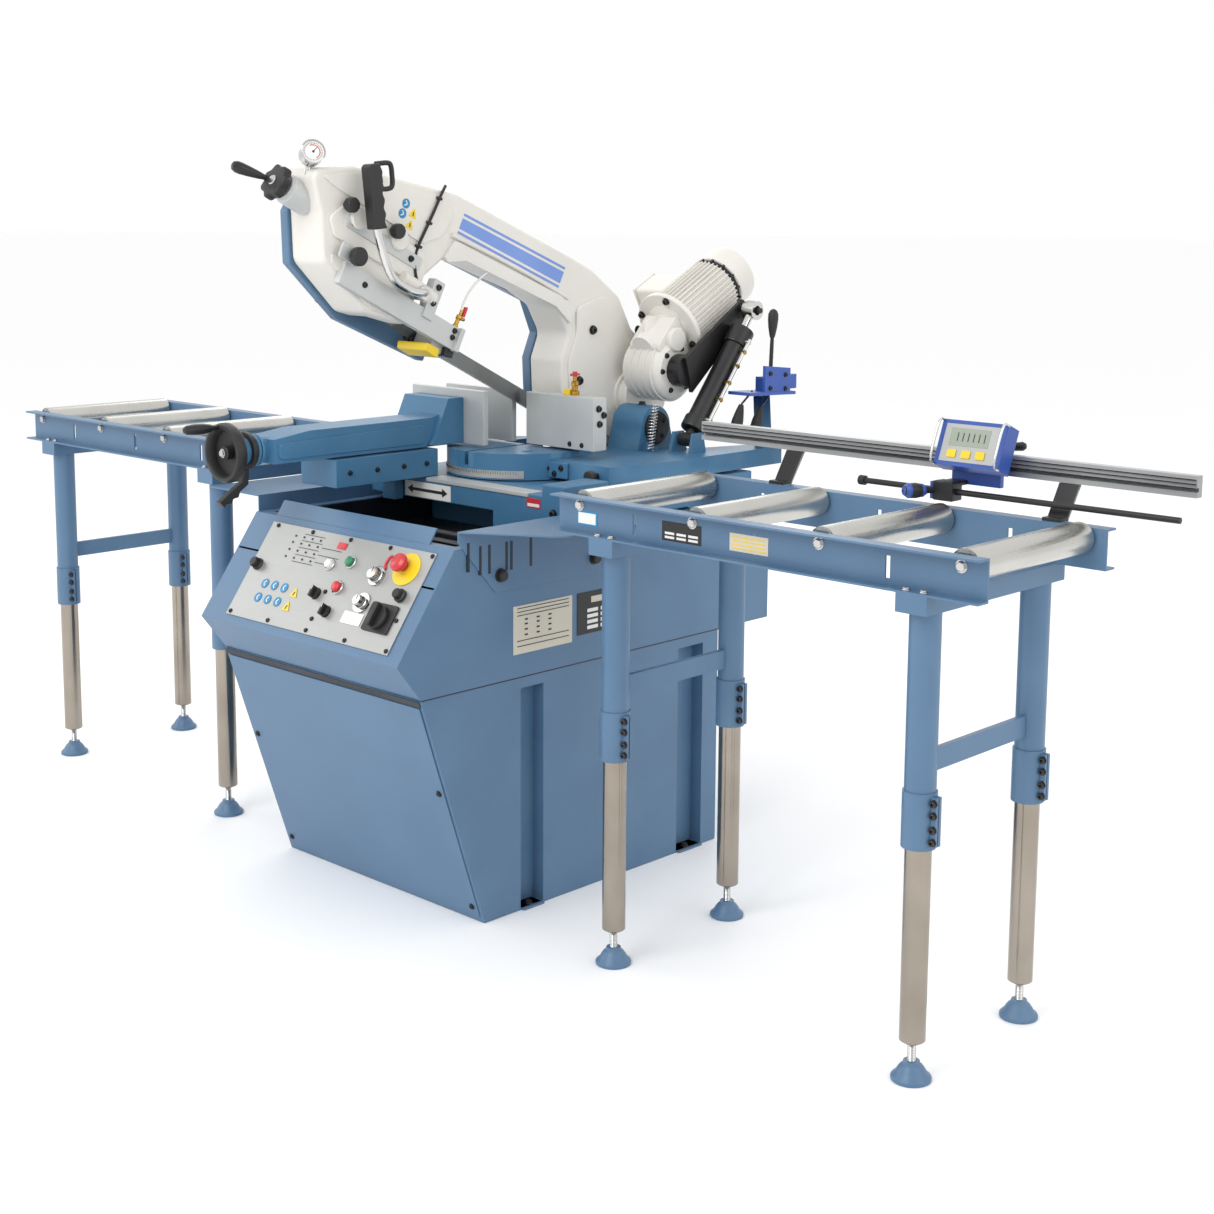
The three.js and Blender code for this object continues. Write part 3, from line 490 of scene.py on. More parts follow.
def repeated(name, tree, places, material, body, frame_place=WORLD, **inputs):
    """Runs a tree on (point, facing, along) places and keeps one plain mesh."""
    turn = frame_place.to_3x3()
    data = bpy.data.meshes.new(name)
    data.from_pydata([(frame_place @ Vector(p)) * MM for p, _, _ in places], [], [])
    for key, index in (("facing", 1), ("along", 2)):
        layer = data.attributes.new(key, "FLOAT_VECTOR", "POINT")
        for item, place in zip(layer.data, places):
            item.vector = (turn @ Vector(place[index])).normalized()
    source = bpy.data.objects.new(name + "_points", data)
    bpy.context.collection.objects.link(source)
    modifier = source.modifiers.new("repeat", "NODES")
    modifier.node_group = tree
    named = {item.name: item.identifier for item in tree.interface.items_tree if item.in_out == "INPUT"}
    for key, value in {**inputs, "finish": material}.items():
        modifier[named[key.replace("_", " ").capitalize()]] = value
    made = bpy.data.meshes.new_from_object(source.evaluated_get(bpy.context.evaluated_depsgraph_get()))
    source.modifiers.remove(modifier)
    bpy.data.objects.remove(source)
    made.name = name
    piece = bpy.data.objects.new(name, made)
    bpy.context.collection.objects.link(piece)
    return handed_over(piece, body)


def screws(name, spots, facing, radius, height, material, body, place=WORLD, sides=6, socket=0.0):
    along = Vector(facing).orthogonal()
    return repeated(name, SCREWS, [(p, facing, along) for p in spots], material, body, place,
                    head_radius=radius * MM, head_height=height * MM, head_sides=sides, socket_share=socket)


def bars(name, places, size, material, body, place=WORLD):
    return repeated(name, BARS, places, material, body, place, bar_size=Vector(size) * MM)


def ring_places(centre, axis, radius, count, first=0.0, last=360.0):
    """Points round an axis, facing outward, with their length along the axis."""
    axis = Vector(axis).normalized()
    side = axis.orthogonal().normalized()
    other = axis.cross(side)
    out = []
    for i in range(count):
        a = math.radians(first + (last - first) * i / count)
        way = side * math.cos(a) + other * math.sin(a)
        out.append((Vector(centre) + way * radius, way, axis))
    return out


# ---------------------------------------------------------------- short forms
UP, TO_RIGHT, TO_FRONT, TO_BACK = (0, 0, 1), (1, 0, 0), (0, -1, 0), (0, 1, 0)


def oblong(x, y, corner, steps=5):
    """A rectangle with rounded corners."""
    return rounded([(x[0], y[0]), (x[1], y[0]), (x[1], y[1]), (x[0], y[1])], corner, steps)


def mirrored(side, near, far):
    """A range of x on the right, or its mirror on the left."""
    return sorted((side * near, side * far))


def slab(name, x, y, z, edge, material, body="base", place=WORLD):
    """One flat plate or block."""
    return Shape(place).box(x, y, z, edge).done(name, material, body)


def spun(name, profile, start, way, sides, material, body, *replaced, place=WORLD):
    """One turned piece."""
    return Shape(place).turned(profile, start, way, sides).done(name, material, body, *replaced)


def cap_screws(name, spots, facing, radius, height, body="base", place=WORLD, sides=24, socket=0.5):
    """Black screws with a hexagon socket."""
    return screws(name, spots, facing, radius, height, black_metal, body, place, sides, socket)


# ---------------------------------------------------------------- cabinet and casing
SIDE = 346  # half the cabinet's width
CHANNELS = [(side, *y) for y in ((-278, -208), (240, 330)) for side in (-1, 1)]


def lower_cabinet():
    shell = Shape().prism([(-386, 0), (386, 0), (386, 530), (-563, 530)], -SIDE, SIDE, 2.0)
    grooves = Shape()
    for side, low, high in CHANNELS:
        grooves.box(mirrored(side, SIDE - 34, SIDE + 10), (low, high), (5, 506), 0)
    shell.minus(grooves)
    for side, low, high in CHANNELS:
        shell.box(mirrored(side, SIDE - 36, SIDE + 9), (low + 4, high - 4), (0.5, 5), 1)
    shell.done("cabinet_shell", sheet_blue, "base", "lower_cabinet")
    panel = Shape(FRONT).prism(oblong((-338, 338), (14, 541), 6), 0.3, 2.6, 0.7, "z")
    panel.done("cabinet_front_panel", sheet_blue, "base")
    slab("cabinet_shadow_gap", (-342, 342), (543, 557), (-0.2, 1.2), 0.3, dark_joint_and_painted_shade, place=FRONT)
    spots = [(x, y, 2.6) for x in (-322, 322) for y in (40, 330)]
    cap_screws("front_panel_screws", spots, UP, 6, 4, place=FRONT)
    anchors = [(side * (SIDE - 12), (low + high) / 2, 5) for side, low, high in CHANNELS]
    screws("anchor_bolts", anchors, UP, 8, 7, black_metal, "base")


def casing():
    refined("upper_casing", sheet_blue, 1.8)
    # the tray's floor and walls under the bed are painted dark, as shade
    tray = Shape().box((-317, 317), (-439, 539), (766.6, 767.6), 0.2)
    for side in (-1, 1):
        tray.box(mirrored(side, 316.6, 317.6), (-439, 539), (767, 834), 0.2)
    for y in (-439.6, 538.6):
        tray.box((-317, 317), (y, y + 1), (767, 834), 0.2)
    tray.done("chip_tray_painted_shade", dark_joint_and_painted_shade, "base")
    rails = Shape()
    for y, z in ((-395, 818), (-300, 812)):
        rails.prism(oblong((y, y + 26), (z, z + 12), 3), -314, 300, 1)
    rails.done("tray_bars", black_metal, "base")
    fittings = Shape()
    for x, y in ((-60, -232), (0, -240), (-120, -226)):
        fittings.turned([(0, 0), (13, 0), (13, 20), (8, 26), (8, 42), (0, 44)], (x, y, 767.8))
    fittings.done("tray_fittings", bright, "base")
    seams = Shape()
    for side in (-1, 1):
        seams.box(mirrored(side, SIDE - 0.5, SIDE + 0.6), (-559, 386), (529.4, 531.6), 0.2)
    seams.done("casing_seam", dark_joint_and_painted_shade, "base")
    slab("rear_hatch", (-250, 250), (574.6, 577), (570, 800), 0.8, sheet_blue)
    spots = [(x, 577, z) for x in (-236, 0, 236) for z in (584, 786)]
    cap_screws("hatch_screws", spots, TO_BACK, 5, 3.5)
    # dark bars painted as the shade inside the rear vents
    vents = [((x, 386.4, z), TO_BACK, TO_RIGHT) for x in (-180, -60, 60, 180) for z in range(360, 480, 20)]
    bars("rear_vent_painted_shade", vents, (90, 5, 1.4), dark_joint_and_painted_shade, "base")


def side_plates():
    for side, name in ((1, "side_plate_right"), (-1, "side_plate_left")):
        refined(name, sheet_blue, 0.8, 1)

        def along_y(y):
            return y if side > 0 else -400 - y

        # dark bars painted as the shade inside the plate's slots
        slots = []
        for y in (-432, -398, -372, -322, -308, -250, 10):
            drop = 20 if y < -400 else 31
            slots.append(((side * 348.2, along_y(y), 836 - drop), (side, 0, 0), UP))
        bars(name + "_slot_painted_shade", slots, (62, 6, 4.4), dark_joint_and_painted_shade, "base")
        spots = [(side * 349.6, along_y(y), 766) for y in (-340, -53)]
        screws(name + "_knobs", spots, (side, 0, 0), 12, 13, black, "base", sides=12)


def side_labels():
    slab("chart_plate", (SIDE, SIDE + 1.2), (-300, -120), (583, 690), 0.4, beige)
    face = SIDE + 1.5
    lines = [((face, -210, z), TO_RIGHT, TO_BACK) for z in (600, 612, 668, 676, 684)]
    bars("chart_lines", lines, (158, 1.6, 0.8), black, "base")
    dots = [((face, y, z), TO_RIGHT, TO_BACK) for y in (-262, -226, -190) for z in (624, 636, 648, 658)]
    bars("chart_dots", dots, (9, 3.4, 0.8), black, "base")
    slab("name_plate", (SIDE, SIDE + 1.2), (-104, 18), (594, 690), 0.4, black_metal)
    boxes = [((face, y, z), TO_RIGHT, TO_BACK) for y in (-55, -12) for z in (608, 621, 634, 647)]
    bars("name_plate_boxes", boxes, (34, 8, 0.8), white, "base")
    slab("name_plate_strip", (SIDE + 1, SIDE + 1.9), (-60, 6), (664, 678), 0.2, beige)
    slab("bed_warning_label", (214, 258), (-133, -131.9), (874, 896), 0.2, red)
    slab("bed_warning_text", (217, 255), (-133.4, -132.8), (877, 884), 0.1, white)


# ---------------------------------------------------------------- control console
FOOT = PLATE - 0.4  # a fitting on the console starts just inside its plate


def console_marks(name, centres, size, along, material, lift):
    places = [((*centre, PLATE + lift), UP, along) for centre in centres]
    bars(name, places, size, material, "base", CONSOLE)


def console_plate():
    refined("control_panel", plate_grey, 0.6)
    upper = [(x, 250) for x in (-238, -110, 25, 160, 296)]
    lower = [(x, 28) for x in (-250, -110, 27, 160, 296)]
    spots = [(x, y, PLATE) for x, y in upper + lower + [(27, 122), (27, 56), (283, 96)]]
    screws("console_screws", spots, UP, 4.2, 2.4, black_metal, "base", CONSOLE, 20, 0.5)
    rounds = [(x, y) for x in (-181, -146, -110) for y in (109, 74)]
    signs = Shape(CONSOLE)
    for x, y in rounds:
        signs.prism(circle(11.5, 28, x, y), PLATE, PLATE + 0.7, 0.1, "z")
    signs.done("console_round_signs", sign_blue, "base")
    marks = [((x, y + d, PLATE + 0.9), UP, (1, 0.4 * d, 0)) for x, y in rounds for d in (-3, 3)]
    bars("console_sign_marks", marks, (9, 2.4, 0.6), white, "base", CONSOLE)
    triangles = Shape(CONSOLE)
    for x, y in ((-68, 104), (-71, 70)):
        corners = rounded([(x - 13, y - 11), (x + 13, y - 11), (x, y + 12)], 2)
        triangles.prism(corners, PLATE, PLATE + 0.7, 0.1, "z")
    triangles.done("console_warning_signs", yellow, "base")
    console_marks("console_warning_marks", ((-68, 101), (-71, 67)), (10, 3, 0.6), (0.3, 1, 0), black, 0.9)
    dots = [(x, y) for x in (-160, -130, -100, -70) for y in (182, 200, 218, 234)]
    console_marks("console_table_dots", dots, (4.4, 4.4, 0.8), TO_RIGHT, black, 0.3)
    lines = [(-96, y) for y in (174, 191, 209, 226, 242)] + [(-20, y) for y in (182, 200, 218)]
    console_marks("console_table_lines", lines, (72, 1, 0.6), TO_RIGHT, black_metal, 0.2)
    for name, x, y, thick, material in (
        ("console_red_labels", (-7, 23), (224, 240), 0.7, red),
        ("pressure_scale", (118, 182), (64, 92), 0.6, white),
    ):
        label = Shape(CONSOLE).prism(oblong(x, y, 2, 3), PLATE, PLATE + thick, 0.0, "z")
        label.done(name, material, "base")
    hook = [(184 + 13 * math.cos(a), 216 + 18 * math.sin(a), PLATE + 1) for a in (1.9, 2.6, 3.4, 4.2)]
    Shape(CONSOLE).pipe(hook, 3.0).done("emergency_mark", red, "base")


def console_bezels():
    rings = Shape(CONSOLE)
    for x, y, outer in ((63, 199, 15), (61, 137, 16), (0, 184, 14)):
        inner = outer - 3.4
        profile = [(inner, 0), (outer, 0), (outer, 3), (outer - 2, 4.5), (inner, 4.2), (inner, 0)]
        rings.turned(profile, (x, y, FOOT))
    for x, y in ((162, 182), (157, 116)):
        rings.turned([(0, 0), (24, 0), (23, 3.4), (0, 3.5)], (x, y, FOOT), sides=40)
    rings.done("button_bezels", bright, "base")
    disc = [(0, 0), (38, 0), (38, 1.6), (36, 2.4), (0, 2.5)]
    guard = Shape(CONSOLE).turned(disc, (240, 210, FOOT), sides=48)
    guard.minus(Shape(CONSOLE).rod((234, 214, PLATE - 2), UP, 9, 12, 40, 0.1))
    guard.turned([(12, 0), (19, 0), (19, 5), (12, 5.2), (12, 0)], (234, 214, PLATE))
    guard.done("emergency_ring", yellow, "base")
    back = Shape(CONSOLE).prism(oblong((192, 276), (60, 126), 6), FOOT, PLATE + 3.4, 0.8, "z")
    back.done("main_switch_plate", black, "base")
    dome = [(0, 0), (10, 0), (10, 8), (8.6, 11), (5, 12.6), (0, 13)]
    spun("power_lamp", dome, (0, 184, PLATE), UP, 32, white, "base", place=CONSOLE)
    plug = [(0, 0), (15, 0), (15, 6), (11, 8), (11, 17), (9, 19), (0, 19.5)]
    spun("service_plug", plug, (262, 150, PLATE), UP, 32, black, "base", place=CONSOLE)
    bases = Shape(CONSOLE)
    for x, y in ((1, 113), (60, 79)):
        bases.turned([(0, 0), (15.5, 0), (15.5, 2), (14, 3), (0, 3)], (x, y, PLATE - 3.6))
    bases.done("selector_bases", black_metal, "base")


def knob_grip(name, x, y, radius, count, size, material, body):
    """Ridges round a knob, halfway up it."""
    ring = ring_places((x, y, PLATE + 9.7), UP, radius, count)
    bars(name, ring, size, material, body, CONSOLE)


def console_controls():
    top = PLATE + 0.7
    feed = [(0, 0), (14.5, 0), (14.5, 2), (11.5, 4), (11, 15), (9.5, 17.4), (0, 18)]
    spun("feed_knob_body", feed, (-238, 149, top), UP, 40, black, "feed_dial", "feed_knob", place=CONSOLE)
    knob_grip("feed_knob_grip", -238, 149, 11.4, 20, (9, 1.4, 1.4), black, "feed_dial")
    for x, y, name, body in (
        (1, 113, "pump_selector", "pump_switch"), (60, 79, "mode_selector", "mode_switch")
    ):
        dial = Shape(CONSOLE).turned([(0, 0), (13, 0), (13, 5), (11.5, 7), (0, 7.4)], (x, y, top), sides=36)
        wing = rounded([(x - 4, y - 13), (x + 4, y - 13), (x + 3, y + 13), (x - 3, y + 13)], 2.5)
        dial.prism(wing, top + 6, top + 17, 1.2, "z")
        dial.done(name + "_body", black, body, name)
        pointer = [((x, y + 7, top + 17.1), UP, TO_BACK)]
        bars(name + "_pointer", pointer, (9, 1.4, 0.6), white, body, CONSOLE)
    for x, y, r, name, body in (
        (162, 182, 18, "speed_knob", "speed_dial"), (157, 116, 15, "pressure_knob", "pressure_dial")
    ):
        profile = [(0, 0), (r, 0), (r, 2), (r * 0.82, 3.5), (r * 0.8, 15), (r * 0.72, 18.6), (0, 19)]
        spun(name + "_body", profile, (x, y, top), UP, 44, bright, body, name, place=CONSOLE)
        knob_grip(name + "_grip", x, y, r * 0.81, 24, (10, 1.2, 1.2), black_metal, body)
        pointer = [((x, y + r * 0.35, top + 19), UP, TO_BACK)]
        bars(name + "_pointer", pointer, (r * 0.6, 1.6, 0.6), black, body, CONSOLE)
    for x, y, r, body, colour in ((63, 199, 11, "start", green), (61, 137, 12, "stop", red)):
        profile = [(0, 0), (r, 0), (r, 5), (r - 1, 7.4), (r - 3, 8.6), (0, 8.2)]
        name = body + "_button"
        spun(name + "_cap", profile, (x, y, PLATE + 4.2), UP, 40, colour, body, name, place=CONSOLE)
    mushroom = [(0, 0), (11, 0), (11, 9), (20, 12), (21, 16), (20.4, 21), (15, 25.4), (7, 26.6), (0, 26.8)]
    start = (234, 214, PLATE + 6.2)
    spun("emergency_mushroom", mushroom, start, UP, 48, red, "estop", "estop_button", place=CONSOLE)
    disc = [(0, 0), (27, 0), (27, 6), (25, 9), (21, 10), (0, 10.4)]
    switch = Shape(CONSOLE).turned(disc, (232, 93, PLATE + 3.6), sides=48)
    grip = rounded([(226, 66), (238, 66), (237, 120), (227, 120)], 5)
    switch.prism(grip, PLATE + 12, PLATE + 27, 2.2, "z")
    switch.done("main_switch_handle", black, "main_isolator", "main_switch")


# ---------------------------------------------------------------- bed, jaws and turntable
def bed():
    refined("machine_bed", cast_blue, 3.5)
    slab("slide_way", (-128, 219), (-135, -84), (897, 905.7), 1.0, ground)
    slab("direction_plate", (-207, -43), (-133.4, -132), (855, 892), 0.4, white)
    half = [(-196, 873.5), (-178, 884), (-178, 877), (-72, 877), (-72, 884), (-54, 873.5)]
    arrow = half + [(-72, 863), (-72, 870), (-178, 870), (-178, 863)]
    Shape().prism(arrow, -134.2, -133.2, 0.0, "y").done("direction_arrow", black, "base")
    spots = [(x, -132.5, z) for x, z in ((300, 868), (300, 812), (130, 800))]
    cap_screws("bed_bolts", spots, TO_FRONT, 8, 7)
    Shape().rod((-276, 140, 905), UP, 50, 20, edge=3).done("fence_foot", cast_blue, "base")


def fixed_jaws():
    refined("fixed_jaw_right", ground, 1.6)
    refined("fixed_jaw_left", ground, 1.6)
    spots = [(199, y, z) for y, z in ((115, 1076), (132, 1060), (118, 1040))]
    cap_screws("jaw_side_bolts", spots, TO_RIGHT, 6.5, 6)
    cap_screws("jaw_front_screws", [(x, 98.5, 988) for x in (120, 160)], TO_FRONT, 5, 2.5)
    profile = [(0, 0), (11, 0), (11, 10), (7, 12), (7, 22), (9, 24), (9, 32), (5, 34), (5, 46), (0, 48)]
    tap = Shape().turned(profile, (112, 124, 1101.5), UP, 24)
    tap.rod((112, 124, 1128), (0.6, -1, 0), 20, 5).done("coolant_tap", brass, "base")
    lever = Shape().prism(rounded([(98, 1146), (126, 1150), (126, 1155), (98, 1152)], 2), 121, 127, 1, "y")
    lever.rod((112, 124, 1146), UP, 12, 6).done("coolant_tap_lever", red, "base")
    slab("coolant_block", (84, 106), (112, 132), (1101.5, 1116), 2, yellow)


def turntable():
    refined("turntable", cast_blue, 3.0)
    centre = joint_point("swivel")
    centre.z = 0
    arc = [math.radians(-150 + 110 * i / 30) for i in range(31)]
    outline = [(centre.x + 176.4 * math.cos(a), centre.y + 176.4 * math.sin(a)) for a in arc]
    outline += [(centre.x + 174.2 * math.cos(a), centre.y + 174.2 * math.sin(a)) for a in reversed(arc)]
    Shape().prism(outline, 912, 930, 0.0, "z").done("angle_scale", plate_grey, "turntable")
    ticks = []
    for i in range(0, 101, 2):
        a = math.radians(-146 + i)
        way = Vector((math.cos(a), math.sin(a), 0))
        tall = 9 if i % 10 == 0 else 5
        ticks.append((centre + way * 176.7 + Vector((0, 0, 928 - tall / 2)), way, UP))
    bars("scale_ticks", ticks, (7, 0.8, 0.5), black, "turntable")
    washer = [(0, 0), (26, 0), (26, 3), (22, 6), (0, 6)]
    spun("hinge_washer", washer, (50.5, 369, 1009), (-1, 0, 0), 32, black_metal, "turntable")
    cap_screws("hub_top_bolt", [(104, 369, 1061)], UP, 8, 8, "turntable")
    pads = Shape().box((86, 172), (38, 46), (914, 952), 3).rod((46, 30, 950), UP, 22, 12)
    pads.done("stop_pad", cast_blue, "turntable")
    spots = [(x, 38, z) for x, z in ((152, 939), (106, 935), (130, 924))]
    cap_screws("stop_pad_screws", spots, TO_FRONT, 6, 4, "turntable", socket=0.55)
    knob = [(0, 0), (7, 0), (7, 12), (13, 16), (15, 24), (13, 32), (0, 34)]
    spun("turntable_lock_knob", knob, (263, 45, 932), TO_FRONT, 24, black, "turntable")


# ---------------------------------------------------------------- vise
VISE = (-196, -652, 1005)  # the middle of its handwheel


def vise():
    refined("vise_slide", cast_blue, 3.0)
    refined("vise_body", cast_blue, 4.0, 3)
    refined("moving_jaw", ground, 1.4)
    x, _, z = VISE
    ribs = Shape()
    for side in (-1, 1):
        face = x + side * 50
        outline = rounded([(-548, 984), (-126, 984), (-126, 1030), (-548, 1020)], 12)
        ribs.prism(outline, *sorted((face - side * 2, face + side * 4)), 1.8)
        shoulder = [(-116, 980), (-40, 980), (-40, 1052), (-62, 1040)]
        ribs.prism(shoulder, *sorted((face, face + side * 14)), 2)
    ribs.done("vise_side_panels", cast_blue, "vise_ram")
    rings = Shape()
    for y in (-578, -588):
        rings.turned([(0, 0), (35, 0), (36, 2), (36, 5), (35, 7), (0, 7)], (x, y, z), TO_BACK, 44)
    rings.done("vise_neck_rings", cast_blue, "vise_ram")
    spots = [(px, 3, pz) for px in (-286, -94) for pz in (1000, 1080)]
    cap_screws("jaw_plate_screws", spots, TO_BACK, 6, 0.8, "vise_ram")
    gib = [(-130.5, y, 938) for y in (-360, -280, -200, -130)]
    cap_screws("gib_screws", gib, TO_RIGHT, 5, 4, "vise_carriage")


def vise_controls():
    x, y, z = VISE
    rim = [(0, 12), (20, 13), (48, 8), (51, -8), (57, -14), (63, -13), (66.5, -6), (66.5, 6), (62, 13)]
    hub = [(56, 16), (30, 17), (17, 20), (16, 27), (0, 27)]
    disc = Shape().turned(rim + hub, VISE, TO_BACK, 72)
    disc.turned([(0, 0), (15, 0), (15, 16), (12, 19), (0, 20)], (x, y + 12, z), TO_FRONT)
    disc.done("handwheel_dish", black, "vise_wheel", "vise_handwheel")
    crank = [(0, 0), (6, 0), (6, 18), (9, 22), (11.5, 40), (12, 62), (10, 82), (6, 88), (0, 89)]
    spun("handwheel_crank", crank, (x - 12, y - 10, z + 56), TO_FRONT, 36, black_metal, "vise_wheel")
    screws("handwheel_nut", [(x, y - 8, z)], TO_FRONT, 8, 6, bright, "vise_wheel")
    collar = [(31.6, 0), (41, 0), (42, 2), (42, 10), (41, 12), (31.6, 12), (31.6, 0)]
    lever = Shape().turned(collar, (x, -606, z), TO_BACK, 48)
    teeth = [(-604, 968), (-596, 968), (-600, 930), (-622, 916), (-626, 904), (-640, 902), (-644, 892),
             (-658, 892), (-664, 884), (-676, 898), (-646, 918), (-614, 938)]
    lever.prism(teeth, x - 8, x + 8, 1.6)
    lever.done("lock_lever_body", black, "vise_lever", "vise_lock_lever")


# ---------------------------------------------------------------- roller tables
TABLES = {"right": (549, 58, (691, 1426)), "left": (-1531, 44, (-1417, -668))}  # start, first roller, legs
NEAR_WEB, FAR_WEB = -358, 35
AXLE = 950  # the rollers' height


def roller_tables():
    for side, (start, first, legs) in TABLES.items():
        refined(side + "_table_frame", sheet_blue, 1.0, 1)
        axles = [start + first + 300 * i for i in range(4)]
        for name, y, way in (("near", NEAR_WEB - 3.6, TO_FRONT), ("far", FAR_WEB + 3.6, TO_BACK)):
            bolts = [(x, y, AXLE) for x in axles]
            screws(f"{side}_{name}_axle_bolts", bolts, way, 9.5, 7, bright, "base")
        small = [(x + dx, NEAR_WEB - 20, 897.4) for x in legs for dx in (-18, 18)]
        screws(side + "_flange_bolts", small, UP, 6, 5, bright, "base")
        for i, x in enumerate(axles):
            roller(side, i + 1, x)
        for i, x in enumerate(legs):
            leg(side, i + 1, "near", x, -343)
            leg(side, i + 1, "far", x, 20)


def table_labels():
    near = NEAR_WEB - 4
    depth = (near - 0.7, near + 0.2)
    slab("rail_small_label", (600, 656), depth, (910, 940), 0.2, sign_blue)
    slab("rail_small_label_face", (604, 652), (near - 1.1, near - 0.3), (914, 936), 0.1, white)
    slab("rail_name_plate", (830, 930), depth, (908, 946), 0.2, black_metal)
    boxes = [((x, near - 0.9, z), TO_FRONT, TO_RIGHT) for x in (850, 880, 910) for z in (915, 923)]
    bars("rail_plate_boxes", boxes, (24, 4.6, 0.6), white, "base")
    slab("rail_load_label", (1000, 1092), depth, (910, 944), 0.2, beige)
    lines = [((1046, near - 0.9, z), TO_FRONT, TO_RIGHT) for z in (916, 923, 930, 937)]
    bars("rail_load_lines", lines, (78, 2, 0.6), yellow, "base")


def roller(side, index, x):
    """A zinc tube with pressed end caps and the ends of its axle."""
    length = 392.2
    cap = [(0, 0), (8, 0), (8, 5.5), (25, 5.5), (26, 7.5), (28.6, 7.5), (29.6, 6.2), (30, 7.6)]
    profile = cap + [(radius, length - depth) for radius, depth in reversed(cap)]
    name = f"{side}_roller_{index}"
    start = (x, NEAR_WEB + 0.4, AXLE)
    spun(name + "_tube", profile, start, TO_BACK, 64, zinc, f"{side}_roller_body_{index}", name)


def leg(side, index, where, x, y):
    """A telescopic leg's inner tube with its threaded stem, foot and clamp."""
    name = f"{side}_leg_{index}_{where}"
    body = f"{side}_leg_body_{index}_{where}"
    tube = [(0, 74), (22, 74), (24, 76), (24, 640), (0, 640)]
    spun(name + "_tube", tube, (x, y, 0), UP, 48, stainless, body, name)
    stem = [(0, 30), (8, 30)]
    for i in range(14):
        stem += [(8, 34 + 3 * i), (7.1, 35.5 + 3 * i)]
    spun(name + "_stem", stem + [(8, 77), (0, 77)], (x, y, 0), UP, 24, bright, body)
    bell = [(0, 0), (35.5, 0), (37, 1.6), (37, 6), (35.6, 8.4), (29, 14), (26, 20), (21, 27), (16, 31),
            (15, 36), (0, 36.4)]
    spun(name + "_foot", bell, (x, y, 0), UP, 56, sheet_blue, body)
    lugs = Shape()
    for low, high in ((-9, -1.2), (1.2, 9)):
        lugs.box((x + 28, x + 40), (y + low, y + high), (442, 532), 1.2)
    lugs.done(name + "_clamp_lugs", sheet_blue, "base")
    spots = [(x + 36, y - 9.4, z) for z in (452, 474, 500, 522)]
    cap_screws(name + "_clamp_screws", spots, TO_FRONT, 5.6, 8, sides=20)


# ---------------------------------------------------------------- saw arm
LEFT, RIGHT = -95, 15  # the arm casting across
ARM_OUTLINE = [
    (714, -58), (851, -86), (1000, -34), (1050, 58), (1098, 112), (1098, 137), (1012, 187), (873, 225),
    (720, 268), (342, 299), (246, 304), (130, 286), (50, 232), (-13, 226), (-100, 200), (-150, 140),
    (-158, 60), (-130, -12), (-80, -52), (-13, -64), (150, -62), (205, -18), (250, 62), (254, 128),
    (320, 172), (400, 176), (640, 148), (695, 118), (728, 60), (736, 20),
]
WHEELS = ((903, 82), (-13, 82))  # the band wheels' centres, forward and up


def arm_casting():
    body = Shape(ARM).prism(rounded(ARM_OUTLINE, 34, 6), LEFT, RIGHT, 9.0, steps=3)
    pocket = [(0, 0), (136, 0), (136, 66), (0, 66)]
    for centre in WHEELS:
        body.minus(Shape(ARM).turned(pocket, (LEFT - 1, *centre), TO_RIGHT, 72))
    for front, low, high in ((903, 198, 222), (862, -78, -26)):
        body.minus(Shape(ARM).box((LEFT - 1, -30), (-13, front), (low, high), 0))
    body.minus(Shape(ARM).box((-20, 40), (150, 340), (-90, 199), 0))
    body.turned([(0, 0), (22, 0), (22, 132), (0, 132)], (RIGHT - 6, 0, 0), TO_RIGHT, 40)
    body.done("arm_casting", arm_white, "arm", "saw_arm")


def arm_relief():
    """The raised pads, bosses and step line cast on the arm's open side."""
    pads = Shape(ARM)
    front = [(770, 120), (1035, 122), (1085, 128), (1000, 176), (868, 212), (742, 244), (715, 214),
             (725, 160)]
    lower = [(735, 30), (1000, 26), (1030, 58), (1000, 104), (760, 104), (738, 70)]
    lip = [(668, -46), (842, -72), (980, -26), (990, -6), (668, -6)]
    rear = [(-120, 22), (-60, -44), (140, -44), (184, -8), (226, 66), (232, 142), (262, 196), (190, 262),
            (126, 250), (52, 206), (-12, 200), (-84, 178), (-126, 128)]
    under = [(262, 150), (330, 168), (640, 140), (690, 112), (700, 122), (690, 168), (330, 198), (268, 192)]
    for outline, corner, height, edge, steps in (
        (front, 22, 5, 3.0, 2), (lower, 18, 8, 3.5, 2), (lip, 8, 4, 2.0, 2), (rear, 26, 6, 3.5, 2),
        (under, 10, 10, 5.0, 3),
    ):
        pads.prism(rounded(outline, corner), RIGHT - 2, RIGHT + height, edge, steps=steps)
    for forward, up in ((840, 96), (960, 88)):
        pads.turned([(0, 0), (24, 0), (24, 16), (21, 19), (0, 19)], (RIGHT, forward, up), TO_RIGHT, 40)
    pads.turned([(0, 0), (64, 0), (62, 10), (0, 10)], (RIGHT + 3, *WHEELS[1]), TO_RIGHT, 56)
    pads.rod((RIGHT + 12, 800, 22), (0, -1, -0.03), 104, 19, 32, 4)
    pads.done("arm_pads", arm_white, "arm")
    line = [(RIGHT + 4, 700, 176), (RIGHT + 5, 560, 190), (RIGHT + 5, 420, 200), (RIGHT + 4, 300, 204)]
    Shape(ARM).pipe(line, 5).done("arm_step_line", arm_white, "arm")
    cap = Shape(ARM).turned([(0, 0), (41, 0), (41, 6), (38, 9), (0, 9)], (150.5, 0, 0), TO_RIGHT, 48)
    cap.turned([(0, 0), (12, 0), (12, 3), (0, 3)], (159, 0, 0), TO_RIGHT, 6)
    cap.done("hinge_cap", black_metal, "arm")
    spots = [(160, 26 * math.cos(a), 26 * math.sin(a)) for a in (0.5, 2.07, 3.64, 5.21)]
    cap_screws("hinge_cap_screws", spots, TO_RIGHT, 5, 3.5, "arm", ARM, 20)


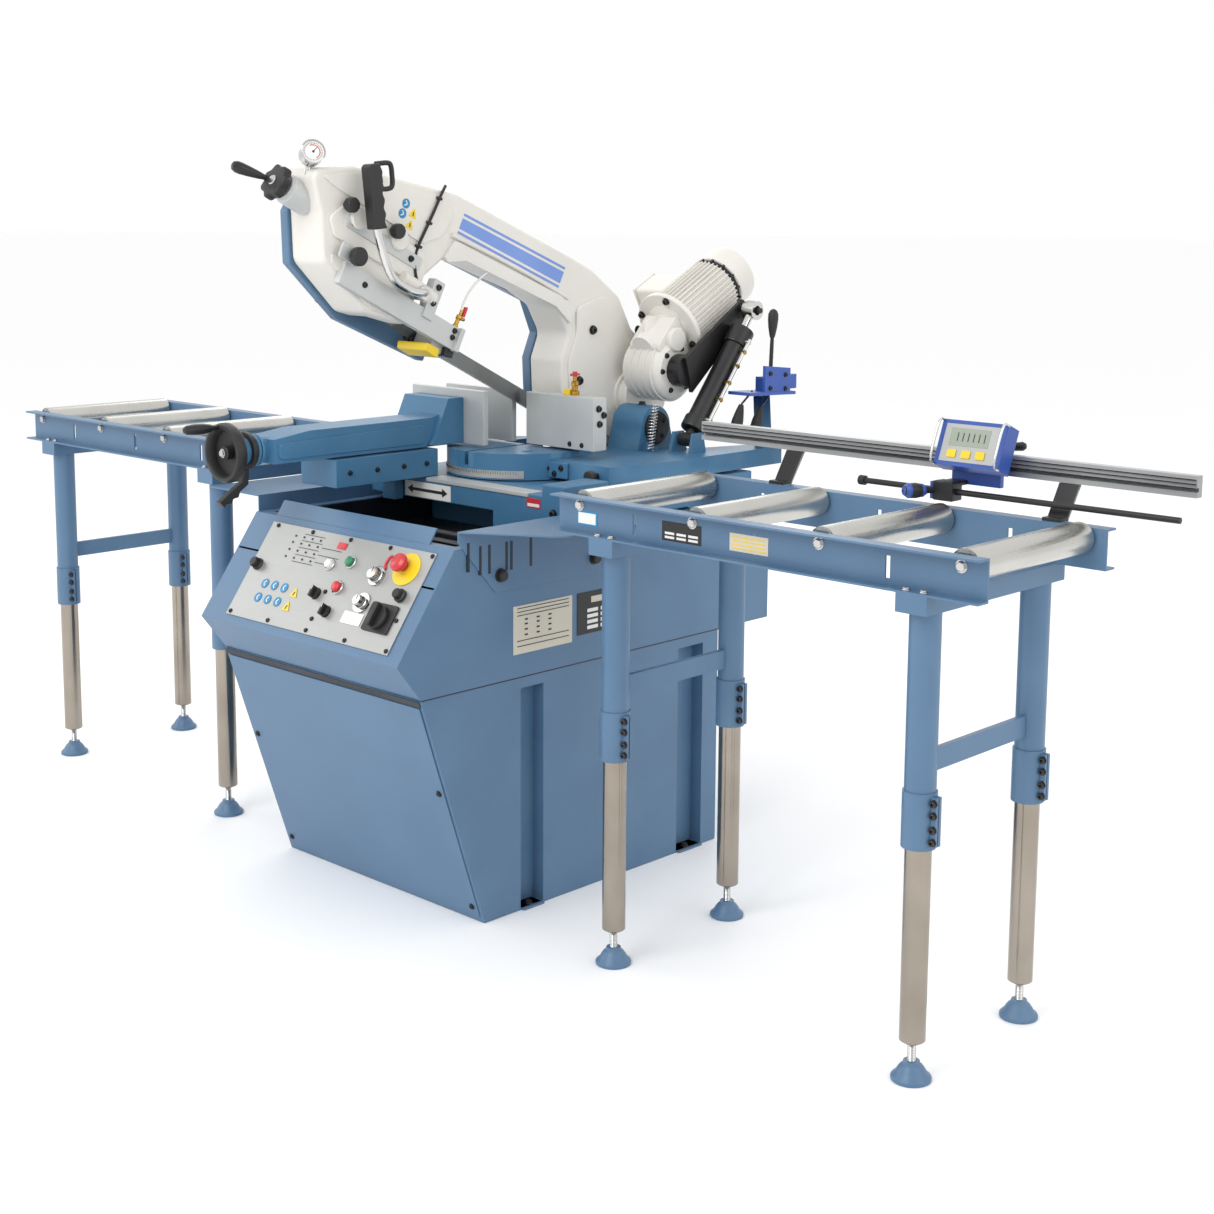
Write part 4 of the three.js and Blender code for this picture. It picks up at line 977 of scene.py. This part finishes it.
def arm_signs():
    """Stripes and plain signs on the arm's open side."""
    stripes = Shape(ARM)
    for rear_high, front_high, front_low, rear_low in (
        (268, 238, 232, 262), (256, 226, 200, 226), (220, 194, 188, 214),
    ):
        band = [(336, rear_high), (684, front_high), (684, front_low), (336, rear_low)]
        stripes.prism(band, RIGHT - 0.4, RIGHT + 0.5, 0)
    stripes.done("arm_stripes", stripe_blue, "arm")
    rounds = ((930, 158), (934, 136), (852, 178), (852, 154))
    signs = Shape(ARM)
    for spot in rounds:
        signs.turned([(0, 0), (11, 0), (11, 0.7), (0, 0.8)], (RIGHT + 5, *spot), TO_RIGHT, 28)
    signs.done("arm_round_signs", sign_blue, "arm")
    face = RIGHT + 6
    marks = [((face, forward, up + d), TO_RIGHT, (0, 1, 0.3 * d)) for forward, up in rounds for d in (-3, 3)]
    bars("arm_sign_marks", marks, (9, 2.2, 0.6), white, "arm", ARM)
    warnings = Shape(ARM)
    for forward, up in ((824, 168), (822, 142)):
        corners = [(forward - 12, up - 10), (forward + 12, up - 10), (forward, up + 12)]
        warnings.prism(rounded(corners, 2), RIGHT + 5, RIGHT + 5.8, 0)
    warnings.done("arm_warning_signs", yellow, "arm")
    marks = [((face, forward, up), TO_RIGHT, (0, 0.3, 1)) for forward, up in ((824, 166), (822, 140))]
    bars("arm_warning_marks", marks, (9, 2.8, 0.6), black, "arm", ARM)


def pressure_gauge():
    facing = Vector((0.85, 0.45, 0.1)).normalized()
    foot = Vector((-20, 1102, 162))
    gauge = Shape(ARM).rod((-20, 1090, 122), (0, 0.3, 1), 36, 8)
    case = [(0, 0), (23, 0), (25, 3), (25, 28), (27, 30), (27, 34), (24.5, 35), (24, 31), (0, 31)]
    gauge.turned(case, foot, facing, 48).done("pressure_gauge", bright, "arm")
    centre = foot + facing * 31.2
    dial = [(0, 0), (23.6, 0), (23.6, 0.6), (0, 0.7)]
    spun("gauge_face", dial, centre, facing, 48, white, "arm", place=ARM)
    ticks = [(p + facing * 0.9, facing, f) for p, f, _ in ring_places(centre, facing, 19, 36)]
    bars("gauge_ticks", ticks, (3.6, 0.7, 0.5), black, "arm", ARM)
    arc = [p + facing for p, _, _ in ring_places(centre, facing, 14.5, 12, 0, 200)]
    Shape(ARM).pipe(arc, 0.9, 8, 3).done("gauge_red_zone", red, "arm")
    root = centre + facing * 1.2
    needle = Shape(ARM).pipe([root, root + Vector((0, -6, 15))], 0.8, 8, 2)
    needle.rod(centre, facing, 2.4, 2.6, 16).done("gauge_needle", black, "arm")


def band_tension():
    collar = [(0, 0), (33, 0), (33, 56), (32, 58), (30, 60), (30, 66), (28, 68), (0, 68)]
    spun("tension_collar", collar, (-45, 1052, 82), TO_BACK, 48, ground, "arm", place=ARM)
    lobes = []
    for i in range(96):
        a = 2 * math.pi * i / 96
        reach = 36.5 + 3.2 * math.cos(7 * a)
        lobes.append((-45 + reach * math.cos(a), 82 + reach * math.sin(a)))
    wheel = Shape(ARM).prism(lobes, 1128, 1150, 5.0, "y", 3)
    wheel.turned([(0, 0), (20, 0), (30, 8), (30, 10), (0, 10)], (-45, 1121, 82), TO_BACK, 36)
    wheel.done("tension_wheel_rim", black, "tension_wheel", "tension_handwheel")
    hub = [(0, 0), (11, 0), (11, 3), (9, 5), (0, 5.4)]
    spun("tension_wheel_hub", hub, (-45, 1149, 82), TO_BACK, 32, bright, "tension_wheel", place=ARM)
    grip = [(0, 0), (5.5, 0), (6, 8), (8, 18), (11, 40), (13, 60), (12.6, 70), (9, 78), (4, 80.5), (0, 81)]
    way = (-0.35, 1, -0.1)
    spun("tension_wheel_handle", grip, (-72, 1146, 88), way, 32, black_metal, "tension_wheel", place=ARM)


def front_fittings():
    pressure_gauge()
    band_tension()
    knobs = Shape(ARM)
    for forward, up in ((1000, 100), (862, 106)):
        profile = [(0, 0), (9, 0), (9, 8), (16, 11), (17, 14), (17, 26), (15, 29), (0, 30)]
        knobs.turned(profile, (RIGHT + 6, forward, up), TO_RIGHT, 12)
    knobs.done("cover_knobs", black, "arm")


def blade_guides():
    refined("guide_bar", ground, 1.6)
    plate = Shape(ARM).prism(oblong((760, 985), (58, 88), 5), RIGHT + 4, RIGHT + 12, 1.4)
    plate.box((RIGHT - 2, RIGHT + 24), (684, 716), (-30, 62), 2)
    plate.box((RIGHT + 2, RIGHT + 30), (588, 600), (-64, -8), 1.4)
    plate.prism(oblong((925, 985), (-12, 24), 6), RIGHT + 18, RIGHT + 24, 1.4)
    plate.done("guide_brackets", ground, "arm")
    knob = [(0, 0), (9, 0), (9, 6), (19, 9), (20.5, 12), (20.5, 24), (18, 27), (8, 28), (0, 27)]
    spun("guide_clamp_knob", knob, (RIGHT + 24, 948, 4), TO_RIGHT, 18, black, "arm", place=ARM)
    spots = [(RIGHT + 12, f, 73) for f in (968, 792)] + [(RIGHT + 24, 700, u) for u in (46, 8)]
    cap_screws("bracket_screws", spots, TO_RIGHT, 6, 5, "arm", ARM)
    spots = [(34.2, f, u) for f, u in ((890, -36), (610, -36), (610, -20))]
    cap_screws("guide_bar_screws", spots, TO_RIGHT, 5.5, 4, "blade_guide", ARM)
    shoe = Shape(ARM)
    long_cheek = rounded([(584, -72), (650, -86), (662, -60), (640, -36), (590, -30)], 4)
    short_cheek = rounded([(586, -78), (612, -82), (616, -44), (588, -38)], 3)
    shoe.prism(long_cheek, -72, -52.5, 1.5).prism(long_cheek, -47.5, -44, 1.2)
    shoe.prism(short_cheek, -72, -52.5, 1.5).prism(short_cheek, -47.5, 30, 1.5)
    shoe.box((-72, -44), (592, 638), (-38, -34), 1).done("blade_guard", black_metal, "blade_guide")
    cap = Shape(ARM).prism(rounded([(622, -94), (664, -92), (670, -74), (626, -72)], 5), -74, 26, 2.2)
    cap.done("guard_cap", yellow, "blade_guide")
    profile = [(0, 0), (7, 0), (7, 6), (5, 8), (5, 20), (7, 22), (7, 30), (4, 32), (4, 44), (0, 46)]
    tap = Shape(ARM).turned(profile, (24, 606, -10), (0, -0.1, 1), 24)
    tap.rod((24, 604, 14), (0, -1, 0.2), 18, 4).done("guide_tap", brass, "blade_guide")
    lever = Shape(ARM).prism(rounded([(590, 22), (598, 20), (596, 46), (590, 46)], 2), 20, 28, 1)
    lever.done("guide_tap_lever", red, "blade_guide")
    rear = Shape(ARM).prism(oblong((168, 212), (-64, -20), 5), -78, -24, 2)
    rear.done("rear_blade_guide", black_metal, "arm")
    teeth = [((-50, 236 + 6 * i, -66.5), (0, 0, -1), (0, 1, 1.4)) for i in range(58)]
    bars("blade_teeth", teeth, (4.2, 1.3, 3.2), blade_steel, "arm", ARM)


def line_piece(points, radius, name, material, body):
    """A hose or cable joined at both ends: its piece, its line and its length, in metres."""
    steps = 4
    piece = Shape(ARM).pipe(points, radius, 12, steps).done(name, material, body)
    line = [(ARM @ p) * MM for p in smooth_path(points, steps)]
    return piece, line, sum((b - a).length for a, b in zip(line, line[1:]))


def hoses():
    path = [(24, 604, 34), (24, 605, 50), (24, 602, 76), (23, 592, 104), (21, 577, 130), (19, 563, 150),
            (16, 556, 166)]
    hose, line, length = line_piece(path, 2.6, "coolant_hose", clear_hose, None)
    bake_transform(hose)
    path = [(12, 760, 268), (24, 772, 240), (25, 776, 190), (24, 780, 140), (23, 782, 96), (24, 770, 60),
            (26, 752, 34)]
    cable, line, length = line_piece(path, 3.4, "arm_cable", rubber, "arm")
    clips = Shape(ARM)
    for forward, up in ((774, 230), (777, 168), (781, 108)):
        clips.box((RIGHT + 2, RIGHT + 15), (forward - 6, forward + 6), (up - 3, up + 3), 1)
    clips.done("cable_clips", black_metal, "arm")


def handle():
    """The bent handle pipe, and the pistol grip with its guard and trigger."""
    path = [(24, 742, 14), (50, 742, 14), (62, 790, -2), (66, 850, 0), (68, 905, 40), (68, 945, 84)]
    pipe = Shape(ARM).pipe(path, 9.5, 24).rod((RIGHT, 742, 14), TO_RIGHT, 40, 17, 32, 3)
    pipe.done("handle_pipe", rod_chrome, "arm")
    base, top = Vector((938, 74)), Vector((1008, 186))
    way = (top - base).normalized()
    out = Vector((-way.y, way.x))
    length = (top - base).length

    def at(along, away):
        return tuple(top + way * along + out * away)

    grip = [at(length * i / 32 - length, 17 + 2.2 * math.cos(i * math.pi / 3.6)) for i in range(33)]
    outline = [at(-length, -15), *grip, at(6, 13), at(6, -10), at(0, -17)]
    body = Shape(ARM).prism(outline, 53, 83, 7.0, steps=3)
    guard = [at(-48, 12), at(-50, 40), at(-44, 53), at(-20, 55), at(0, 53), at(5, 42), at(5, 12)]
    body.pipe([(68, *point) for point in guard], 5.5, 16)
    body.minus(Shape(ARM).prism([at(-40, 7), at(-7, 7), at(-7, 30), at(-40, 30)], 61.5, 74.5, 0))
    body.done("pistol_grip", black, "arm", "handle_grip")
    blade = rounded([at(-36, 14), at(-11, 12), at(-10, 19), at(-22, 25), at(-37, 26)], 3)
    lever = Shape(ARM).prism(blade, 62.5, 73.5, 2)
    lever.done("trigger_blade", black_metal, "trigger_lever", "trigger")


def blade_cover():
    refined("blade_cover", sheet_blue, 3.0)
    knobs = Shape(ARM)
    for forward, up in ((1000, 60), (870, -62), (560, 262), (200, 262), (-110, 150)):
        profile = [(0, 0), (8, 0), (8, 4), (15, 6), (15, 13), (12, 16), (0, 17)]
        knobs.turned(profile, (-122, forward, up), (-1, 0, 0), 24)
    knobs.done("blade_cover_knobs", black, "cover")
    panels = Shape(ARM)
    for outline in (
        [(330, 206), (690, 182), (690, 236), (330, 266)],
        [(-90, 20), (120, -30), (180, 120), (60, 190), (-80, 150)],
        [(770, -40), (880, -62), (990, -10), (1010, 60), (960, 150), (800, 190), (760, 100)],
    ):
        panels.prism(rounded(outline, 24), -125, -120, 1.8)
    panels.done("blade_cover_panels", sheet_blue, "cover")
    hinges = Shape(ARM)
    line = ARM.inverted() @ joint_point("cover_open")
    for forward in (400, 250):
        hinges.rod((line.x, forward, line.z), TO_BACK, 60, 5, 20)
    hinges.done("cover_hinge_barrels", black_metal, "cover")


def band():
    for name in ("front_wheel", "rear_wheel"):
        refined(name, ground, 0.8)
    slots = frame["nodes"]["saw_blade"].data.materials
    slots.clear()
    slots.append(blade_steel)


# ---------------------------------------------------------------- drive and feed cylinder
TILT = math.radians(55)
DRIVE_WAY = Vector((0, -math.cos(TILT), math.sin(TILT)))
FLANGE = Vector((105, 25, 255))  # the motor's foot on the gearbox


def motor():
    body = [(0, 0), (90, 0), (92, 2), (92, 12), (89, 15), (74, 17), (70, 22), (70, 198), (66, 202), (0, 202)]
    core = Shape(ARM).turned(body, FLANGE, DRIVE_WAY, 72)
    fan_cover = [(0, 0), (76, 0), (78, 2), (78, 52), (74, 62), (62, 68), (0, 70)]
    core.turned(fan_cover, FLANGE + DRIVE_WAY * 210, DRIVE_WAY, 72)
    core.done("motor_housing", arm_white, "arm", "motor")
    across = Vector(TO_RIGHT)
    out = across.cross(DRIVE_WAY)
    box = basis(across, DRIVE_WAY, out, FLANGE + DRIVE_WAY * 82)
    terminal = Shape(ARM @ box).box((-116, -20), (-40, 40), (-78, -18), 7, 3)
    terminal.box((-118, -112), (-44, 44), (-80, -14), 2).done("terminal_box", arm_white, "arm")
    fins = [(p + DRIVE_WAY * 110, f, DRIVE_WAY) for p, f, _ in ring_places(FLANGE, DRIVE_WAY, 73, 40)]
    bars("motor_fins", fins, (172, 2.4, 8), arm_white, "arm", ARM)
    # a dark ring painted as the shade in the gap between the motor body and its fan cover
    gap = [(0, 0), (71, 0), (71, 9), (0, 9)]
    spun("fan_gap_painted_shade", gap, FLANGE + DRIVE_WAY * 201, DRIVE_WAY, 64, dark_joint_and_painted_shade, "arm", place=ARM)
    # dark bars painted as the shade inside the fan cover's slots
    end = FLANGE + DRIVE_WAY * 280.2
    slots = [(end + across * dx + out * dy, DRIVE_WAY, out) for dx in range(-48, 49, 12) for dy in (-22, 22)]
    bars("fan_slot_painted_shade", slots, (36, 4, 1.2), dark_joint_and_painted_shade, "arm", ARM)
    clips = [(p + DRIVE_WAY * 205, f, DRIVE_WAY) for p, f, _ in ring_places(FLANGE, DRIVE_WAY, 74, 14)]
    bars("fan_cover_clips", clips, (10, 5, 6), black_metal, "arm", ARM)
    bolts = [p - DRIVE_WAY for p, _, _ in ring_places(FLANGE, DRIVE_WAY, 80, 4, 20)]
    cap_screws("flange_bolts", bolts, -DRIVE_WAY, 7.5, 8, "arm", ARM)


def gearbox():
    foot = [(0, 0), (54, 0), (54, 30), (50, 36), (0, 36)]
    case = Shape(ARM).turned(foot, (RIGHT, *WHEELS[1]), TO_RIGHT, 56)
    drum = [(0, 0), (70, 0), (76, 5), (76, 102), (72, 110), (62, 116), (60, 118), (0, 118)]
    case.turned(drum, (47, 8, 150), TO_RIGHT, 72)
    neck = [(0, 0), (33, 0), (33, 84), (40, 96), (60, 103), (60, 104), (0, 104)]
    case.turned(neck, FLANGE - DRIVE_WAY * 104, DRIVE_WAY, 56)
    case.prism(rounded([(92, 176), (64, 280), (-23, 219), (-62, 176), (0, 100)], 18), 60, 158, 8, steps=3)
    for x in (76, 98, 120, 142):
        case.turned([(0, 0), (78.5, 0), (79.5, 1), (79.5, 4), (78.5, 5), (0, 5)], (x, 8, 150), TO_RIGHT, 72)
    case.turned([(0, 0), (38, 0), (38, 12), (34, 15), (0, 15)], (100, 60, 226), (1, 0.3, 0.2), 40)
    case.done("gearbox_case", arm_white, "arm", "gearbox")
    cap = [(0, 0), (30, 0), (30, 10), (27, 13), (0, 14)]
    spun("gearbox_cap", cap, (158, 44, 216), TO_RIGHT, 48, arm_white, "arm", place=ARM)
    angles = (0.3, 1.4, 2.5, 3.6, 4.7, 5.8)
    spots = [(165, 8 + 54 * math.cos(a), 150 + 54 * math.sin(a)) for a in angles]
    cap_screws("gearbox_screws", spots, TO_RIGHT, 5.5, 5, "arm", ARM)
    spots = [(23, f, u) for f, u in ((176, 40), (118, -30), (188, 170), (40, 236))]
    cap_screws("housing_bolts", spots, TO_RIGHT, 9, 7, "arm", ARM)


def feed_cylinder():
    base = joint_point("cylinder_swing")
    way = Vector(JOINTS["rod_stroke"]["axis"]).normalized()
    side = Vector(TO_RIGHT)
    refined("cylinder_bracket", black_metal, 2.0)
    barrel = Shape()
    for distance, length, radius, edge in ((26, 300, 26.5, 3), (278, 50, 32, 4), (26, 34, 31, 4)):
        barrel.rod(base + way * distance, way, length, radius, 56, edge)
    barrel.rod(base + way * 2, way, 30, 12)
    barrel.rod(base - side * 20, side, 40, 17, 40, 2)
    barrel.done("cylinder_barrel_finished", black_metal, "cylinder_barrel", "lift_cylinder")
    line = Shape().rod(base + way * 50 + side * 38, way, 250, 5, 24)
    line.rod(base + way * 60 + side * 26, side, 16, 7).rod(base + way * 292 + side * 26, side, 16, 7)
    line.done("cylinder_pipe", rod_chrome, "cylinder_barrel")
    valves = Shape()
    for distance in (120, 170, 220, 262):
        valves.rod(base + way * distance + side * 30, side, 15, 6, 6)
    valves.done("cylinder_fittings", brass, "cylinder_barrel")
    refined("cylinder_rod", rod_chrome, 1.2)


def feed_valve():
    coil = []
    for i in range(15 * 12 + 1):
        a = 2 * math.pi * i / 12
        coil.append((176 + 9 * math.cos(a), 318 + 9 * math.sin(a) + 0.1 * i, 958 + 0.62 * i))
    Shape().pipe(coil, 1.7, 8, 1).done("cable_spring", bright, "turntable")
    refined("valve_block", deep_blue, 1.6)
    spots = [(338.2, y, z) for y, z in ((580, 1140), (640, 1134), (580, 1104), (640, 1100))]
    cap_screws("valve_screws", spots, TO_RIGHT, 5, 4, "turntable", sides=20)
    solenoid = Shape().rod((304, 672, 1114), TO_BACK, 30, 15, 36, 3)
    solenoid.done("valve_solenoid", black, "turntable")
    lean = (0, 0.05, 1)
    profile = [(0, 0), (5, 0), (5, 60), (4.6, 92), (7, 97), (11, 118), (13, 138), (12.6, 152), (9, 160),
               (4, 164), (0, 165)]
    stick = Shape().turned(profile, (304, 622, 1131.5), lean, 36)
    stick.turned([(0, 0), (11, 0), (9, 8), (6, 16), (0, 17)], (304, 622, 1131.6), lean, 32)
    stick.done("valve_lever_stick", black, "feed_valve_lever", "valve_lever")
    boot = [(0, 0), (11, 0), (15, 12), (14, 34), (10, 56), (6, 72), (0, 74)]
    boots = Shape()
    for start in ((318, 470, 1000), (322, 540, 990)):
        boots.turned(boot, start, (0, 0.35, 1), 32)
    boots.rod((296, 604, 958), (0, -0.06, 1), 118, 9)
    boots.done("cable_boots", rubber, "turntable")
    for index, (x, y, z) in enumerate(((318, 495, 1070), (322, 565, 1060))):
        path = [(x, y, z), (x, y + 20, z + 14), (x - 4, y + 44, 1098)]
        Shape().pipe(path, 2.6, 10).done(f"valve_cable_{index + 1}", black_metal, "turntable")


# ---------------------------------------------------------------- length stop
def length_stop():
    refined("stop_rail", aluminium, 0.8)
    refined("readout_carriage", deep_blue, 1.6)
    refined("stop_rod", black_metal, 0.8)
    brackets = Shape()
    for x in (790, 1441):
        brackets.prism([(60, 976.2), (67.6, 976.2), (104, 1035), (98, 1036)], x - 20.2, x + 20.2, 0.8)
        brackets.box((x - 20.2, x + 20.2), (39.6, 67.4), (970.4, 977), 1)
    brackets.done("stop_brackets", black_metal, "base")
    grooves = Shape()
    for z in (1052, 1060, 1068):
        grooves.box((532, 1693), (99.2, 100.2), (z, z + 1.6), 0.1)
    grooves.done("rail_grooves", black_metal, "base")
    clamp = Shape().box((1182, 1228), (32, 68), (983, 1021), 3)
    clamp.minus(Shape().rod((1160, 50, 1001), TO_RIGHT, 80, 6.8, 24))
    clamp.done("stop_clamp", black_metal, "stop_carriage")
    ball = [(0, 0), (6.4, 0), (6.4, 20), (12, 29), (15.2, 46), (14.6, 60), (9, 71), (0, 73.4)]
    spun("stop_clamp_lever", ball, (1186, 40, 1002), (-0.5, -1, 0.02), 36, black, "stop_carriage")
    slab("carriage_arm", (1189.6, 1226.4), (35.6, 99), (1011.6, 1020.6), 1, black_metal, "stop_carriage")
    lever = [(0, 0), (5, 0), (5, 24), (8, 32), (9, 54), (5, 60), (0, 61)]
    spun("carriage_lock_lever", lever, (1262, 128, 1084), (1, 0.3, 0.12), 28, black, "stop_carriage")


def readout():
    """The readout's face, screen, keys and wire guards, on its tilted front."""
    display = Matrix.Translation((1257, 64, 1090)) @ Matrix.Rotation(math.radians(-22), 4, "X")
    body = "stop_carriage"
    slab("readout_face", (-62, 62), (-21.4, -19.6), (-38, 38), 0.6, plate_grey, body, display)
    slab("readout_screen", (-48, 40), (-22.2, -21.2), (-6, 30), 0.4, screen, body, display)
    digits = [((-30 + 12 * i, -22.4, 12), TO_FRONT, UP) for i in range(6)]
    bars("readout_digits", digits, (17, 1.8, 0.5), black, body, display)
    keys = Shape(display)
    for x in (-36, -4, 28):
        keys.prism(oblong((x - 10, x + 10), (-30, -14), 3), -24, -21.2, 0.6, "y")
    keys.done("readout_keys", yellow, body)
    guards = Shape(display)
    for x in (-71, 71):
        guards.pipe([(x, -16, -44), (x, -34, -40), (x, -38, 0), (x, -34, 40), (x, -16, 44)], 2.6, 12)
    guards.done("readout_wire_guards", rod_chrome, body)


# ---------------------------------------------------------------- studio
def studio():
    bpy.ops.mesh.primitive_plane_add(size=400)
    floor = bpy.context.object
    floor.name = "studio_floor"
    pale = bpy.data.materials.new("studio_pale")
    pale.use_nodes = True
    shader = pale.node_tree.nodes["Principled BSDF"]
    shader.inputs["Base Color"].default_value = linear("fdfdfd")
    shader.inputs["Roughness"].default_value = 0.7
    floor.data.materials.append(pale)
    world = bpy.data.worlds.new("studio")
    bpy.context.scene.world = world
    world.use_nodes = True
    background = world.node_tree.nodes["Background"]
    background.inputs["Color"].default_value = (1.0, 1.0, 1.0, 1)
    background.inputs["Strength"].default_value = 1.0
    middle = Vector((0.1, 0, 0.9))
    for name, place, size, power in (
        ("key", (0.5, -4.5, 4.6), 3.2, 120), ("fill", (5.0, 0.5, 3.0), 3.0, 30),
        ("back", (-3.5, 4.0, 4.0), 3.0, 50), ("left", (-4.5, -2.5, 2.6), 2.6, 30),
    ):
        light = bpy.data.lights.new(name, "AREA")
        light.size = size
        light.energy = power
        lamp = bpy.data.objects.new(name, light)
        bpy.context.collection.objects.link(lamp)
        lamp.location = place
        lamp.rotation_euler = (middle - Vector(place)).to_track_quat("-Z", "Y").to_euler()


def camera():
    """A standing viewer's camera to the right of the console."""
    data = bpy.data.cameras.new("camera")
    data.sensor_width = 36
    data.lens = 54.96
    data.shift_y = -0.1046
    data.dof.use_dof = False
    data.clip_end = 100
    view = bpy.data.objects.new("camera", data)
    bpy.context.collection.objects.link(view)
    ahead = Vector((-0.682, 0.716, -0.146)).normalized()
    turn = ahead.to_track_quat("-Z", "Y").to_matrix().to_4x4()
    roll = Matrix.Rotation(math.radians(0.37), 4, "Z")
    view.matrix_world = Matrix.Translation((3.187, -2.992, 1.545)) @ turn @ roll
    bpy.context.scene.camera = view
    bpy.context.scene.view_settings.view_transform = "Standard"


for build in (
    camera, studio, lower_cabinet, casing, side_plates, side_labels, console_plate, console_bezels,
    console_controls, bed, fixed_jaws, turntable, vise, vise_controls, roller_tables, table_labels,
    arm_casting, arm_relief, arm_signs, front_fittings, blade_guides, hoses, handle, blade_cover, band,
    motor, gearbox, feed_cylinder, feed_valve, length_stop, readout,
):
    build()
